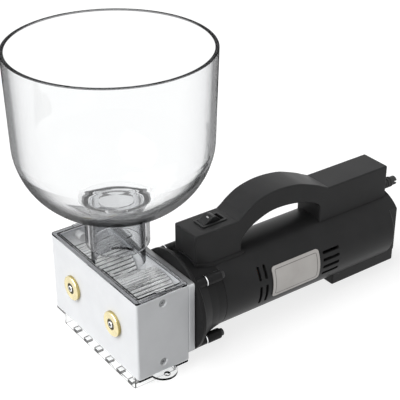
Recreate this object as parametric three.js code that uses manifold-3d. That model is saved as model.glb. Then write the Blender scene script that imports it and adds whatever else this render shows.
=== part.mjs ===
// Electric grain mill: a two-roller mill head under a clear hopper, driven by a hand-held motor.
// Millimetres. X runs from the front of the mill head to the rear of the motor, Y runs across,
// and Z runs up from the foot of the outlet tray. The motor is in line with the near roller.

import * as THREE from 'three';
import { mergeVertices } from 'three/addons/utils/BufferGeometryUtils.js';
import Module from 'manifold-3d';

const wasm = await Module();
wasm.setup();

// Clearances
const fit = 0.3;
const overrun = 1;

// Mill head
const head = { width: 145, depth: 53.7, front: 4, side: 2.6, below: 6.1, above: 4.1, corner: 1.5 };
const backPlate = { thickness: 7.2, lift: 5.6, corner: 3, edge: 0.8 };
const roller = {
  sidePlay: 0.9, nip: 1.2, fluteDepth: 1.3, endGap: 1.5, journal: 7, flutes: 42, hexTip: 5, hexAcross: 5.4,
};
const bush = { wall: 2.4, flange: 12, flangeThickness: 3.2, lip: 1.2, endPlay: 0.6, mouthGap: 1.3 };
const bushShares = { chamferStart: 0.8, face: 0.95 };
const shaftScrew = { head: 3.1, headLength: 2.4, shank: 1.8, length: 7, socket: 1.8, socketDepth: 1.5 };
const guide = { gap: 1.2, inset: 7.2, height: 12.6, boss: 4.2, bossEnd: 1 };
const sideScrew = {
  inset: 3.2, head: 3, headLength: 1.4, shank: 1.7, length: 9, socket: 1.4, socketDepth: 0.8,
};

// Clear outlet tray
const tray = {
  height: 12.5, flange: 2.2, wall: 2, nearInset: 6.5, farInset: 14.5, rearInset: 8.7, ear: 12.5, earInset: 1,
};
const trayLug = { count: 6, firstInset: 9.5, lastInset: 19, width: 6.5, depth: 6, height: 3 };
const trayHole = { radius: 2.8, offset: 5 };

// Clear top cover
const cover = { rim: 2.2, frame: 6, rear: 3, drop: 3, panel: 1.8, play: 0.5, corner: 1.5 };
const neck = { frontInset: 4.2, rearInset: 0.7, wall: 2.5, height: 54.3 };
const catchTab = { length: 10, width: 2.4, height: 3.2, thickness: 1.6 };
const liftTab = { from: 25, width: 20, reach: 9.5, thickness: 1.6 };

// Clear hopper, measured up from its seat on the neck
const hopper = {
  rimRadius: 88.9, rimRise: 149.2, shoulderRadius: 86.6, shoulderRise: 66, floorRise: 1.4, wall: 3.6,
  play: 0.8, skirtDrop: 36.3, footEdge: 2.4, fillet: 2.5, hole: 15.5, web: 3.6, webEdge: 0.7,
};
const hopperShares = { rimEdge: 0.2 };
const bowlShares = [
  [0, 0], [0.25, 0.06], [0.45, 0.15], [0.63, 0.28], [0.77, 0.42], [0.88, 0.58], [0.95, 0.74], [0.985, 0.86],
  [1, 1],
];

// Gearbox, measured from the motor axis
const gearbox = { rim: 4.95, flangeLength: 3.5, neckLength: 16, neckInset: 8.2, length: 35.5, wall: 4.5 };
const gearboxShares = { waist: 0.6, taper: 0.4 };
const gearTrain = {
  ringPitchRadius: 23.925, sun: 9, planet: 12, ring: 33, width: 11, pin: 2.5, cavity: 30, planets: 3,
};
const carrier = { plate: 16, plateThickness: 4, hub: 11.2 };
const lug = { inset: 6.2, radius: 4.7, length: 13.5, gap: 1.7, boss: 5, bossLength: 16, hole: 2.3 };
const flangeScrew = { shank: 2, reach: 5, washer: 5.3, washerThickness: 1, head: 3.6, headLength: 3 };

// Motor
const barrel = { radius: 36.9, wall: 3.5, length: 209.5, rearWall: 15, capLength: 9.8 };
const foot = { length: 82.3, halfWidth: 27.7, drop: 36.6 };
const bearing = { radius: 11, width: 7 };
const shaft = { radius: 4, nose: 2.6 };
const stator = { inner: 23, start: 52.5, length: 65 };
const core = { radius: 22.2, inset: 2 };
const commutator = { radius: 12, start: 124.5, length: 14 };
const brush = { width: 8, height: 6 };
const fan = { radius: 29, hub: 9, start: 30, width: 11, blades: 8, blade: 1.6, disc: 1.4 };
const roundVent = { width: 3, pitch: 7, start: 38, spans: [[15, 37], [-25, 6]] };
const longVent = { length: 21, start: 115, pitchAngle: 12, topAngle: 19, height: 3.4, count: 4 };
const badge = { start: 53, length: 57, thickness: 0.8, bottom: -12.7, top: 18.3 };

// Handle with the switch, measured from the motor axis and from the gearbox's front face
const handle = {
  width: 32.8, top: 68.2, start: 15.5, rearInset: 6.8, edge: 2.2,
  archStart: 62, archSpan: 109.5, archRise: 18.1,
  holeStart: 67, holeLength: 94, holeTop: 66.3, holeShoulder: 46, lip: 1.6, lipHeight: 2.4, lipLength: 54,
};
const archShares = [
  [0, 0], [0.05, 0.2], [0.1, 0.43], [0.2, 0.76], [0.32, 0.94], [0.44, 1], [0.56, 0.95], [0.67, 0.83],
  [0.77, 0.62], [0.87, 0.38], [0.94, 0.17], [1, 0],
];
const holeShares = [
  [0, 0], [0.03, 0.2], [0.09, 0.47], [0.18, 0.71], [0.34, 0.96], [0.5, 1], [0.68, 0.9], [0.84, 0.68],
  [0.96, 0.42], [1, 0.2],
];
const rocker = { length: 22, width: 10.4, peak: 6.2, depth: 6, tilt: 6, x: 43.5, pivotDrop: 2, crown: 2.4 };
const rockerShares = { underside: 0.3 };
const bezel = { rim: 2.2, wall: 1, thickness: 1.1, gap: 0.5, pocketDepth: 13, swing: 1.2 };
const cordGuard = {
  y: -7.2, rise: 42.2, radius: 4.5, length: 20, bore: 2.3, shank: 3.5, shankLength: 6, flange: 6,
  flangeLength: 1.8, rib: 0.8, ribs: 3, slot: 2.6, slotDepth: 3.5,
};

// Worked-out places: the rollers fill the head from wall to wall, and its height follows from them
const rollerSpacing = head.width / 2 - head.side - roller.sidePlay + roller.nip / 2;
const rollerRadius = (rollerSpacing - roller.nip) / 2;
const axisRise = head.below + rollerRadius;
const headHeight = axisRise + rollerRadius + head.above;
const headBottom = tray.height + fit;
const axisZ = headBottom + axisRise;
const headTop = headBottom + headHeight;
const coverBase = headTop + fit;
const plateFront = head.depth + fit;
const plateBack = plateFront + backPlate.thickness;
const rollerStart = head.front + roller.endGap;
const rollerEnd = head.depth - roller.endGap;
const bushBore = roller.journal + fit;
const bushRadius = bushBore + bush.wall;
const guideTop = rollerRadius - guide.inset;
const sideScrewRise = rollerRadius - sideScrew.inset;
const neckRadius = (head.depth - neck.frontInset - neck.rearInset) / 2;
const neckX = neck.frontInset + neckRadius;
const neckBore = neckRadius - neck.wall;
const neckTop = coverBase + neck.height;
const skirtBore = neckRadius + hopper.play;
const skirtRadius = skirtBore + hopper.wall;
const motorY = -rollerSpacing / 2;
const lugOffset = head.width / 2 - rollerSpacing / 2 - lug.inset;
const flangeRadius = Math.hypot(lugOffset, lugOffset) + gearbox.rim;
const gearNeckRadius = flangeRadius - gearbox.neckInset;
const gearModule = 2 * gearTrain.ringPitchRadius / gearTrain.ring;
const gearFront = plateBack + fit;
const gearRear = gearFront + gearbox.length;
const barrelFront = gearRear + fit;
const barrelRear = barrelFront + barrel.length;
const capRear = barrelRear + barrel.capLength;
const barrelBore = barrel.radius - barrel.wall;
const handleEnd = capRear - handle.rearInset;

const finishes = {
  clear: { color: 0xe9edee, roughness: 0.08, metalness: 0, transparent: true, opacity: 0.3 },
  satinAluminium: { color: 0xd4d7d9, roughness: 0.42, metalness: 0.85 },
  steel: { color: 0xb9bcbf, roughness: 0.3, metalness: 0.9 },
  chrome: { color: 0xe6e8ea, roughness: 0.08, metalness: 1 },
  brass: { color: 0xdcc878, roughness: 0.25, metalness: 0.95 },
  blackPlastic: { color: 0x2b2b2c, roughness: 0.5, metalness: 0 },
  badge: { color: 0xa5a29e, roughness: 0.38, metalness: 0.8 },
  copper: { color: 0xb06a3c, roughness: 0.4, metalness: 0.9 },
  carbon: { color: 0x2c2c30, roughness: 0.7, metalness: 0.1 },
  nylon: { color: 0xdedbd0, roughness: 0.6, metalness: 0 },
};

// Solids

function toSolid(geometry) {
  const bare = geometry.index ? geometry.clone() : geometry;
  bare.deleteAttribute('normal');
  bare.deleteAttribute('uv');
  const merged = mergeVertices(bare);
  return new wasm.Manifold(new wasm.Mesh({
    numProp: 3,
    vertProperties: new Float32Array(merged.attributes.position.array),
    triVerts: new Uint32Array(merged.index.array),
  }));
}

function toGeometry(solid) {
  const data = solid.getMesh();
  const geometry = new THREE.BufferGeometry();
  geometry.setAttribute('position', new THREE.BufferAttribute(new Float32Array(data.vertProperties), 3));
  geometry.setIndex(new THREE.BufferAttribute(new Uint32Array(data.triVerts), 1));
  geometry.computeVertexNormals();
  return geometry;
}

function piece(name, solid, finish) {
  const mesh = new THREE.Mesh(toGeometry(solid), new THREE.MeshStandardMaterial(finishes[finish]));
  mesh.name = name;
  return mesh;
}

function join(...solids) {
  return solids.reduce((whole, next) => whole.add(next));
}

function cut(whole, ...cutters) {
  return cutters.reduce((left, cutter) => left.subtract(cutter), whole);
}

// A box between two opposite corners
function block([x0, y0, z0], [x1, y1, z1]) {
  const geometry = new THREE.BoxGeometry(x1 - x0, y1 - y0, z1 - z0);
  return toSolid(geometry.translate((x0 + x1) / 2, (y0 + y1) / 2, (z0 + z1) / 2));
}

// A round rod along X, at (y, z)
function rodX(from, to, radius, y = 0, z = 0, sides = 20) {
  const geometry = new THREE.CylinderGeometry(radius, radius, to - from, sides);
  return toSolid(geometry.rotateZ(-Math.PI / 2).translate((from + to) / 2, y, z));
}

// A round rod along Y, at (x, z)
function rodY(from, to, radius, x = 0, z = 0, sides = 12) {
  const geometry = new THREE.CylinderGeometry(radius, radius, to - from, sides);
  return toSolid(geometry.translate(x, (from + to) / 2, z));
}

// A round rod along Z, at (x, y)
function rodZ(from, to, radius, x = 0, y = 0, sides = 32) {
  const geometry = new THREE.CylinderGeometry(radius, radius, to - from, sides);
  return toSolid(geometry.rotateX(Math.PI / 2).translate(x, y, (from + to) / 2));
}

// A closed outline of [along, radius] points turned about its own axis
function turned(outline, sides) {
  const points = outline.map(([along, radius]) => new THREE.Vector2(radius, along));
  if (THREE.ShapeUtils.area(points) < 0) points.reverse();
  points.push(points[0].clone());
  return new THREE.LatheGeometry(points, sides);
}

function turnedX(outline, sides = 40) {
  return toSolid(turned(outline, sides).rotateZ(-Math.PI / 2));
}

function turnedZ(outline, sides = 40) {
  return toSolid(turned(outline, sides).rotateX(Math.PI / 2));
}

// An outline of [y, z] points drawn out along X
function slabX(outline, from, to) {
  const shape = new THREE.Shape(outline.map(([y, z]) => new THREE.Vector2(y, z)));
  const geometry = new THREE.ExtrudeGeometry(shape, { depth: to - from, bevelEnabled: false });
  geometry.applyMatrix4(new THREE.Matrix4().makeBasis(
    new THREE.Vector3(0, 1, 0), new THREE.Vector3(0, 0, 1), new THREE.Vector3(1, 0, 0)));
  return toSolid(geometry.translate(from, 0, 0));
}

// An outline of [x, y] points drawn out along Z
function slabZ(outline, from, to) {
  const shape = new THREE.Shape(outline.map(([x, y]) => new THREE.Vector2(x, y)));
  const geometry = new THREE.ExtrudeGeometry(shape, { depth: to - from, bevelEnabled: false });
  return toSolid(geometry.translate(0, 0, from));
}

// An outline of [x, z] points drawn out along Y, centred, with its edges bevelled
function slabY(outline, width, edge) {
  const shape = new THREE.Shape(outline.map(([x, z]) => new THREE.Vector2(x, z)));
  const bevel = {
    bevelEnabled: edge > 0, bevelThickness: edge, bevelSize: edge, bevelOffset: -edge, bevelSegments: 2,
  };
  const geometry = new THREE.ExtrudeGeometry(shape, { depth: width - 2 * edge, ...bevel });
  geometry.rotateX(Math.PI / 2);
  return toSolid(geometry.translate(0, width / 2 - edge, 0));
}

// The four corners of a rectangle, rounded, as [u, v] points
function roundedRectangle([u0, v0], [u1, v1], radius, steps = 2) {
  const corners = [[u1, v1, 0], [u0, v1, 1], [u0, v0, 2], [u1, v0, 3]];
  return corners.flatMap(([u, v, quarter]) => {
    const cu = u === u1 ? u1 - radius : u0 + radius;
    const cv = v === v1 ? v1 - radius : v0 + radius;
    return Array.from({ length: steps + 1 }, (_, i) => {
      const angle = (quarter + i / steps) * Math.PI / 2;
      return [cu + radius * Math.cos(angle), cv + radius * Math.sin(angle)];
    });
  });
}

// Part of a tube about the X axis, between two angles in degrees up from the near side
function tubeSector(from, to, inner, outer, startAngle, endAngle, steps = 8) {
  const ring = (radius, i) => {
    const angle = THREE.MathUtils.degToRad(startAngle + (endAngle - startAngle) * i / steps);
    return [-radius * Math.cos(angle), radius * Math.sin(angle)];
  };
  const outside = Array.from({ length: steps + 1 }, (_, i) => ring(outer, i));
  const inside = Array.from({ length: steps + 1 }, (_, i) => ring(inner, steps - i));
  return slabX([...outside, ...inside], from, to);
}

function hexagon(across, count = 6) {
  return Array.from({ length: count }, (_, i) => {
    const angle = i / count * 2 * Math.PI;
    return [across * Math.cos(angle), across * Math.sin(angle)];
  });
}

// Two places, the lower first
function inOrder(a, b) {
  return a < b ? [a, b] : [b, a];
}

const sides = [['near', -1], ['far', 1]];
const levels = [['top', 1], ['bottom', -1]];

// Mill head

function millHousing() {
  const half = head.width / 2;
  const inner = half - head.side;
  const outline = [
    [0, -half + head.corner], [head.corner, -half], [head.depth, -half], [head.depth, -inner],
    [head.front, -inner], [head.front, inner], [head.depth, inner], [head.depth, half],
    [head.corner, half], [0, half - head.corner],
  ];
  const bushHoles = sides.map(([, side]) =>
    rodX(-overrun, head.front + overrun, bushRadius + fit, side * rollerSpacing / 2, axisRise));
  const screwHoles = sides.flatMap(([, side]) => levels.map(([, level]) => {
    const [from, to] = inOrder(side * (inner - overrun), side * (half + overrun));
    return rodY(from, to, sideScrew.head + fit, head.depth / 2, axisRise + level * sideScrewRise);
  }));
  return cut(slabZ(outline, 0, headHeight), ...bushHoles, ...screwHoles);
}

function backPlateSolid() {
  const half = head.width / 2;
  const outline = (inset) => roundedRectangle(
    [-half + inset, backPlate.lift + inset], [half - inset, headHeight - inset], backPlate.corner);
  const plate = join(
    slabX(outline(0), plateFront, plateBack - backPlate.edge),
    slabX(outline(backPlate.edge), plateFront, plateBack));
  const bushHoles = sides.map(([, side]) => rodX(
    plateFront - overrun, plateBack + overrun, bushRadius + fit, side * rollerSpacing / 2, axisRise));
  const screwHoles = sides.flatMap(([, side]) => levels.map(([, level]) =>
    rodX(plateBack - flangeScrew.reach - fit, plateBack + overrun, lug.hole,
      motorY + side * lugOffset, axisRise + level * lugOffset, 8)));
  return cut(plate, ...bushHoles, ...screwHoles);
}

const bushFace = -fit - bush.flangeThickness;

// A bush with its flange outside the wall and a lip over the journal's end, about the X axis
function frontBush() {
  const mouth = shaftScrew.head + bush.mouthGap;
  return turnedX([
    [head.front, bushBore], [head.front, bushRadius], [-fit, bushRadius], [-fit, bush.flange],
    [-fit - bush.flangeThickness * bushShares.chamferStart, bush.flange],
    [bushFace, bush.flange * bushShares.face], [bushFace, mouth], [bushFace + bush.lip, mouth],
    [bushFace + bush.lip, bushBore],
  ], 20);
}

function rearBush() {
  return turnedX([
    [plateFront, bushBore], [plateFront, bushRadius], [plateBack, bushRadius], [plateBack, bushBore],
  ], 20);
}

const journalFront = bushFace + bush.lip + bush.endPlay;

function shaftScrewSolid() {
  const headBack = journalFront - fit;
  const headFront = headBack - shaftScrew.headLength;
  const screw = join(
    rodX(headFront, headBack, shaftScrew.head, 0, 0, 16),
    rodX(headBack - fit, headBack + shaftScrew.length, shaftScrew.shank, 0, 0, 10));
  const socket = slabX(hexagon(shaftScrew.socket), headFront - overrun, headFront + shaftScrew.socketDepth);
  return cut(screw, socket);
}

// A fluted drum with its journals; the driven one ends in a hexagon that enters the gearbox
function rollerSolid(driven) {
  const outline = Array.from({ length: 2 * roller.flutes }, (_, i) => {
    const radius = i % 2 ? rollerRadius - roller.fluteDepth : rollerRadius;
    const angle = i / roller.flutes * Math.PI;
    return [radius * Math.cos(angle), radius * Math.sin(angle)];
  });
  const journalRear = driven ? plateBack : plateBack - fit;
  const drum = join(
    slabX(outline, rollerStart, rollerEnd),
    rodX(journalFront, journalRear, roller.journal, 0, 0, 20));
  const tip = slabX(hexagon(roller.hexAcross), journalRear - overrun, plateBack + roller.hexTip);
  const screwHole = rodX(
    journalFront - overrun, journalFront + shaftScrew.length + fit, shaftScrew.shank + fit, 0, 0, 10);
  return cut(driven ? join(drum, tip) : drum, screwHole);
}

// The bar in the corner between a roller and the side wall, with a boss for its screw
function guideBlock(side, level) {
  const wall = head.width / 2 - head.side - fit;
  const screwEnd = wall - sideScrew.length - fit;
  const across = (from, to) => inOrder(side * from, side * to);
  const [y0, y1] = across(rollerSpacing / 2, wall);
  const [z0, z1] = inOrder(level * (guideTop - guide.height), level * guideTop);
  const x = head.depth / 2;
  const z = level * sideScrewRise;
  const bar = block([head.front + fit, y0, z0], [head.depth, y1, z1]);
  const boss = rodY(...across(screwEnd - guide.bossEnd, wall), guide.boss, x, z, 16);
  const room = rodX(
    -overrun, head.depth + overrun, rollerRadius + guide.gap, side * rollerSpacing / 2, 0, 48);
  const screwHole = rodY(...across(screwEnd, wall + overrun), sideScrew.shank + fit, x, z, 10);
  return cut(join(bar, boss), room, screwHole);
}

function sideScrewSolid(side, level) {
  const seat = head.width / 2 - head.side;
  const z = level * sideScrewRise;
  const x = head.depth / 2;
  const along = (from, to, radius, count) => {
    const [low, high] = inOrder(side * from, side * to);
    return rodY(low, high, radius, x, z, count);
  };
  const screw = join(
    along(seat, seat + sideScrew.headLength, sideScrew.head, 12),
    along(seat - sideScrew.length, seat + fit, sideScrew.shank, 10));
  const face = seat + sideScrew.headLength;
  return cut(screw, along(face - sideScrew.socketDepth, face + overrun, sideScrew.socket, 6));
}

// Outlet tray

function outletTray() {
  const half = head.width / 2;
  const base = tray.height - tray.flange;
  const [near, far] = [-half + tray.nearInset, half - tray.farInset];
  const frame = (inset) => [[inset, near + inset], [head.depth - tray.rearInset - inset, far - inset]];
  const [[x0, y0], [x1, y1]] = frame(0);
  const [[u0, v0], [u1, v1]] = frame(tray.wall);
  const earY = half - tray.earInset;
  const ears = sides.map(([, side]) => rodZ(base, tray.height, tray.ear, head.depth / 2, side * earY, 24));
  const holeY = half + trayHole.offset;
  const holes = sides.map(([, side]) => rodZ(
    base - overrun, tray.height + overrun, trayHole.radius, head.depth / 2, side * holeY, 14));
  const [firstLug, lastLug] = [near + trayLug.firstInset, far - trayLug.lastInset];
  const lugs = Array.from({ length: trayLug.count }, (_, i) => {
    const y = THREE.MathUtils.lerp(firstLug, lastLug, i / (trayLug.count - 1));
    return block(
      [tray.wall / 2, y - trayLug.width / 2, 0],
      [tray.wall + trayLug.depth, y + trayLug.width / 2, trayLug.height]);
  });
  const flange = block([0, -half, base], [head.depth, half, tray.height]);
  const well = block([u0, v0, -overrun], [u1, v1, tray.height + overrun]);
  const body = join(flange, block([x0, y0, 0], [x1, y1, tray.height]), ...ears);
  return join(cut(body, well, ...holes), ...lugs);
}

// Top cover, with z = 0 at the underside of its rim

function topCover() {
  const half = head.width / 2;
  const panelTop = cover.rim - cover.drop;
  const panelBottom = panelTop - cover.panel;
  const panHalf = half - head.side - cover.play;
  const rim = slabZ(roundedRectangle([0, -half], [head.depth, half], cover.corner), 0, cover.rim);
  const pan = block(
    [head.front + cover.play, -panHalf, panelBottom],
    [head.depth - cover.play, panHalf, cover.rim / 2]);
  const pocket = block(
    [cover.frame, -half + cover.frame, panelTop],
    [head.depth - cover.rear, half - cover.frame, cover.rim + overrun]);
  const root = rodZ(panelBottom, cover.rim / 2, neckRadius, neckX, 0, 40).intersect(pan);
  const tube = rodZ(0, neck.height, neckRadius, neckX, 0, 40);
  const catches = sides.map(([, side]) => {
    const y = side * (half - cover.frame / 2);
    return block(
      [head.depth / 2 - catchTab.length / 2, y - catchTab.width / 2, cover.rim / 2],
      [head.depth / 2 + catchTab.length / 2, y + catchTab.width / 2, cover.rim + catchTab.height / 2]);
  });
  const lift = block(
    [head.depth - cover.rear, liftTab.from, cover.rim - liftTab.thickness],
    [head.depth + liftTab.reach, liftTab.from + liftTab.width, cover.rim]);
  const lid = join(cut(join(rim, pan, lift), pocket), root, tube);
  const bore = rodZ(panelBottom - overrun, neck.height + overrun, neckBore, neckX, 0, 40);
  return join(cut(lid, bore), ...catches);
}

// Hopper, with z = 0 at its seat on the neck

function hopperSolid() {
  const bowl = (floorRadius, inset) => bowlShares.map(([along, up]) => [
    THREE.MathUtils.lerp(hopper.floorRise + inset, hopper.shoulderRise, up),
    THREE.MathUtils.lerp(floorRadius, hopper.shoulderRadius - inset, along)]).reverse();
  const rimEdge = hopper.wall * hopperShares.rimEdge;
  const steps = 3;
  // A quarter round as [along, radius] points; one lies under the bowl and one on the skirt's foot
  const quarter = (middle, radius, reach, start) => Array.from({ length: steps + 1 }, (_, i) => {
    const angle = start + i / steps * Math.PI / 2;
    return [middle + reach * Math.sin(angle), radius + reach * Math.cos(angle)];
  });
  const { fillet, footEdge } = hopper;
  const belowBowl = quarter(hopper.floorRise - fillet, skirtRadius + fillet, fillet, Math.PI / 2);
  const footRound = quarter(footEdge - hopper.skirtDrop, skirtRadius - footEdge, footEdge, -Math.PI / 2);
  const outline = [
    [hopper.rimRise - rimEdge, hopper.rimRadius],
    ...bowl(skirtRadius + fillet, 0), ...belowBowl.slice(1), ...footRound.reverse(),
    [-hopper.skirtDrop, skirtBore], [0, skirtBore], [0, hopper.hole], [hopper.web, hopper.hole],
    [hopper.web, skirtBore], ...bowl(skirtBore + hopper.webEdge, hopper.wall).reverse(),
    [hopper.rimRise - rimEdge, hopper.rimRadius - hopper.wall],
    [hopper.rimRise, hopper.rimRadius - hopper.wall + rimEdge], [hopper.rimRise, hopper.rimRadius - rimEdge],
  ];
  return turnedZ(outline, 40);
}

// Gearbox, about the motor axis

const carrierStart = gearFront + gearbox.wall + fit;
const gearStart = carrierStart + carrier.plateThickness + fit;
const gearEnd = gearStart + gearTrain.width;
const pitch = (teeth) => teeth * gearModule / 2;

// A gear outline of trapezoid teeth, with the first tooth at the given angle in radians
function gearOutline(teeth, root, tip, rootHalf, tipHalf, phase) {
  const radius = pitch(teeth);
  return Array.from({ length: teeth }, (_, i) => {
    const middle = phase + i / teeth * 2 * Math.PI;
    return [[root, -rootHalf], [tip, -tipHalf], [tip, tipHalf], [root, rootHalf]].map(([rise, half]) => {
      const angle = middle + half * gearModule / radius;
      const reach = radius + rise * gearModule;
      return [reach * Math.cos(angle), reach * Math.sin(angle)];
    });
  }).flat();
}

const toothShares = { root: -1, tip: 0.75, rootHalf: 0.6, tipHalf: 0.28 };

function outerGear(teeth, bore, phase) {
  const { root, tip, rootHalf, tipHalf } = toothShares;
  const blank = slabX(gearOutline(teeth, root, tip, rootHalf, tipHalf, phase), gearStart, gearEnd);
  return cut(blank, rodX(gearStart - overrun, gearEnd + overrun, bore, 0, 0, 12));
}

function ringGear() {
  const { root, tip, rootHalf, tipHalf } = toothShares;
  const teeth = slabX(
    gearOutline(gearTrain.ring, -root, -tip, rootHalf, tipHalf, 0), gearStart - overrun, gearEnd + overrun);
  return cut(rodX(gearStart, gearEnd, gearTrain.cavity - fit, 0, 0, 28), teeth);
}

const planetOrbit = pitch(gearTrain.sun) + pitch(gearTrain.planet);
const planetAngle = (i) => i / gearTrain.planets * 2 * Math.PI;

function planetCarrier() {
  const pins = Array.from({ length: gearTrain.planets }, (_, i) => rodX(
    carrierStart + overrun, gearEnd, gearTrain.pin,
    planetOrbit * Math.cos(planetAngle(i)), planetOrbit * Math.sin(planetAngle(i)), 12));
  const disc = join(
    rodX(carrierStart, carrierStart + carrier.plateThickness, carrier.plate + gearTrain.pin, 0, 0, 28),
    rodX(plateBack + fit, carrierStart + overrun, carrier.hub, 0, 0, 24), ...pins);
  const socket = hexagon(roller.hexAcross + fit / Math.cos(Math.PI / 6));
  return cut(disc, slabX(socket, plateBack - overrun, plateBack + roller.hexTip + fit));
}

// The outside of the gearbox and barrel as [x, radius] points, grown by a clearance
function bodyOutline(grow) {
  const neckEnd = gearFront + gearbox.neckLength;
  const taperRadius = THREE.MathUtils.lerp(barrel.radius, gearNeckRadius, gearboxShares.taper);
  return [
    [gearFront - grow, flangeRadius + grow], [gearFront + gearbox.flangeLength, flangeRadius + grow],
    [gearFront + gearbox.neckLength * gearboxShares.waist, (flangeRadius + gearNeckRadius) / 2 + grow],
    [neckEnd, gearNeckRadius + grow], [(neckEnd + gearRear) / 2, taperRadius + grow],
    [gearRear, barrel.radius + grow],
  ];
}

function lugPlaces() {
  return sides.flatMap(([sideName, side]) => levels.map(([levelName, level]) =>
    ({ name: `${sideName}_${levelName}`, y: side * lugOffset, z: level * lugOffset })));
}

const lugEnd = gearFront + lug.length;
const bossStart = lugEnd + lug.gap;
const bossEnd = bossStart + lug.bossLength;

function gearboxHousing() {
  const shell = turnedX([
    ...bodyOutline(0), [gearRear, gearTrain.cavity], [gearFront + gearbox.wall, gearTrain.cavity],
    [gearFront + gearbox.wall, carrier.hub + fit], [gearFront, carrier.hub + fit],
  ], 36);
  const outer = lugPlaces().flatMap(({ y, z }) => [
    rodX(gearFront, lugEnd, lug.radius, y, z, 12), rodX(bossStart, bossEnd, lug.boss, y, z, 12)]);
  const slots = lugPlaces().map(({ y, z }) =>
    rodX(lugEnd, bossStart, flangeScrew.washer + fit, y, z, 12));
  const holes = lugPlaces().map(({ y, z }) =>
    rodX(gearFront - overrun, bossEnd + overrun, lug.hole, y, z, 8));
  const headRooms = lugPlaces().map(({ y, z }) =>
    rodX(bossEnd, bossEnd + flangeScrew.headLength + 2 * fit, flangeScrew.head + fit, y, z, 10));
  const inside = rodX(gearFront + gearbox.wall, gearRear + overrun, gearTrain.cavity, 0, 0, 36);
  return cut(join(shell, ...outer), ...slots, ...holes, ...headRooms, inside);
}

function flangeScrewSolid() {
  const washerStart = lugEnd + (lug.gap - flangeScrew.washerThickness) / 2;
  return join(
    rodX(plateBack - flangeScrew.reach, bossEnd + fit + overrun, flangeScrew.shank, 0, 0, 8),
    rodX(washerStart, washerStart + flangeScrew.washerThickness, flangeScrew.washer, 0, 0, 12),
    rodX(bossEnd + fit, bossEnd + fit + flangeScrew.headLength, flangeScrew.head, 0, 0, 10));
}

function gearboxCover() {
  return turnedX([
    [barrelFront, bearing.radius + fit], [barrelFront, barrelBore - fit],
    [barrelFront + bearing.width, barrelBore - fit], [barrelFront + bearing.width, bearing.radius + fit],
  ], 28);
}

// Motor, about its own axis

const rearBearingStart = barrelRear - barrel.rearWall + fit;

function bearingAt(start) {
  return turnedX([
    [start, shaft.radius + fit], [start, bearing.radius], [start + bearing.width, bearing.radius],
    [start + bearing.width, shaft.radius + fit],
  ], 20);
}

function motorShaft() {
  return join(
    rodX(gearStart, barrelFront, shaft.nose, 0, 0, 12),
    rodX(barrelFront - fit, rearBearingStart + bearing.width, shaft.radius, 0, 0, 16));
}

function motorHousing() {
  const boreEnd = barrelRear - barrel.rearWall;
  const barrelRod = rodX(barrelFront, barrelRear, barrel.radius, 0, 0, 44);
  const footFront = capRear - foot.length;
  const footBlock = block([footFront, -foot.halfWidth, -foot.drop], [capRear, foot.halfWidth, 0]);
  const capLimits = block(
    [boreEnd, -foot.halfWidth, 0], [capRear + overrun, foot.halfWidth, barrel.radius + overrun]);
  const cap = rodX(boreEnd, capRear, barrel.radius, 0, 0, 44).intersect(capLimits);
  const bore = rodX(barrelFront - overrun, boreEnd, barrelBore, 0, 0, 44);
  const pocketEnd = rearBearingStart + bearing.width + fit;
  const pocket = rodX(boreEnd - overrun, pocketEnd, bearing.radius + fit, 0, 0, 20);
  return cut(join(barrelRod, footBlock, cap), bore, pocket, ...ventCutters());
}

const halfTurn = 180;

// Slots through the barrel's wall, on the near side and mirrored on the far side
function ventCutters() {
  const inner = barrelBore - overrun;
  const outer = barrel.radius + overrun;
  const round = [0, 1].flatMap((column) => roundVent.spans.flatMap(([low, high]) => {
    const start = barrelFront + roundVent.start + column * roundVent.pitch;
    return [[low, high], [halfTurn - high, halfTurn - low]].map(([a, b]) =>
      tubeSector(start, start + roundVent.width, inner, outer, a, b));
  }));
  const halfAngle = THREE.MathUtils.radToDeg(longVent.height / 2 / barrel.radius);
  const long = Array.from({ length: longVent.count }, (_, i) => longVent.topAngle - i * longVent.pitchAngle)
    .flatMap((angle) => [angle, halfTurn - angle]).map((angle) => tubeSector(
      barrelFront + longVent.start, barrelFront + longVent.start + longVent.length, inner, outer,
      angle - halfAngle, angle + halfAngle, 2));
  return [...round, ...long];
}

function tubeAround(start, length, inner, outer, count = 20) {
  return turnedX([[start, inner], [start, outer], [start + length, outer], [start + length, inner]], count);
}

function armatureCore() {
  const start = barrelFront + stator.start + core.inset;
  return tubeAround(start, stator.length - 2 * core.inset, shaft.radius + fit, core.radius);
}

function commutatorSolid() {
  return tubeAround(barrelFront + commutator.start, commutator.length, shaft.radius + fit, commutator.radius);
}

function statorSolid() {
  return tubeAround(barrelFront + stator.start, stator.length, stator.inner, barrelBore - fit, 28);
}

function fanSolid() {
  const start = barrelFront + fan.start;
  const blades = Array.from({ length: fan.blades }, (_, i) => {
    const geometry = new THREE.BoxGeometry(fan.width, fan.blade, fan.radius - fan.hub + overrun);
    geometry.translate(start + fan.width / 2, 0, (fan.radius + fan.hub - overrun) / 2);
    return toSolid(geometry.rotateX(i / fan.blades * 2 * Math.PI));
  });
  const whole = join(
    rodX(start, start + fan.width, fan.hub, 0, 0, 16),
    rodX(start + fan.width - fan.disc, start + fan.width, fan.radius, 0, 0, 24), ...blades);
  return cut(whole, rodX(start - overrun, start + fan.width + overrun, shaft.radius + fit, 0, 0, 16));
}

function brushSolid(side) {
  const inner = commutator.radius + fit;
  const outer = Math.sqrt((barrelBore - fit) ** 2 - (brush.height / 2) ** 2);
  const middle = barrelFront + commutator.start + commutator.length / 2;
  const [from, to] = inOrder(side * inner, side * outer);
  return block(
    [middle - brush.width / 2, from, -brush.height / 2], [middle + brush.width / 2, to, brush.height / 2]);
}

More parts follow.
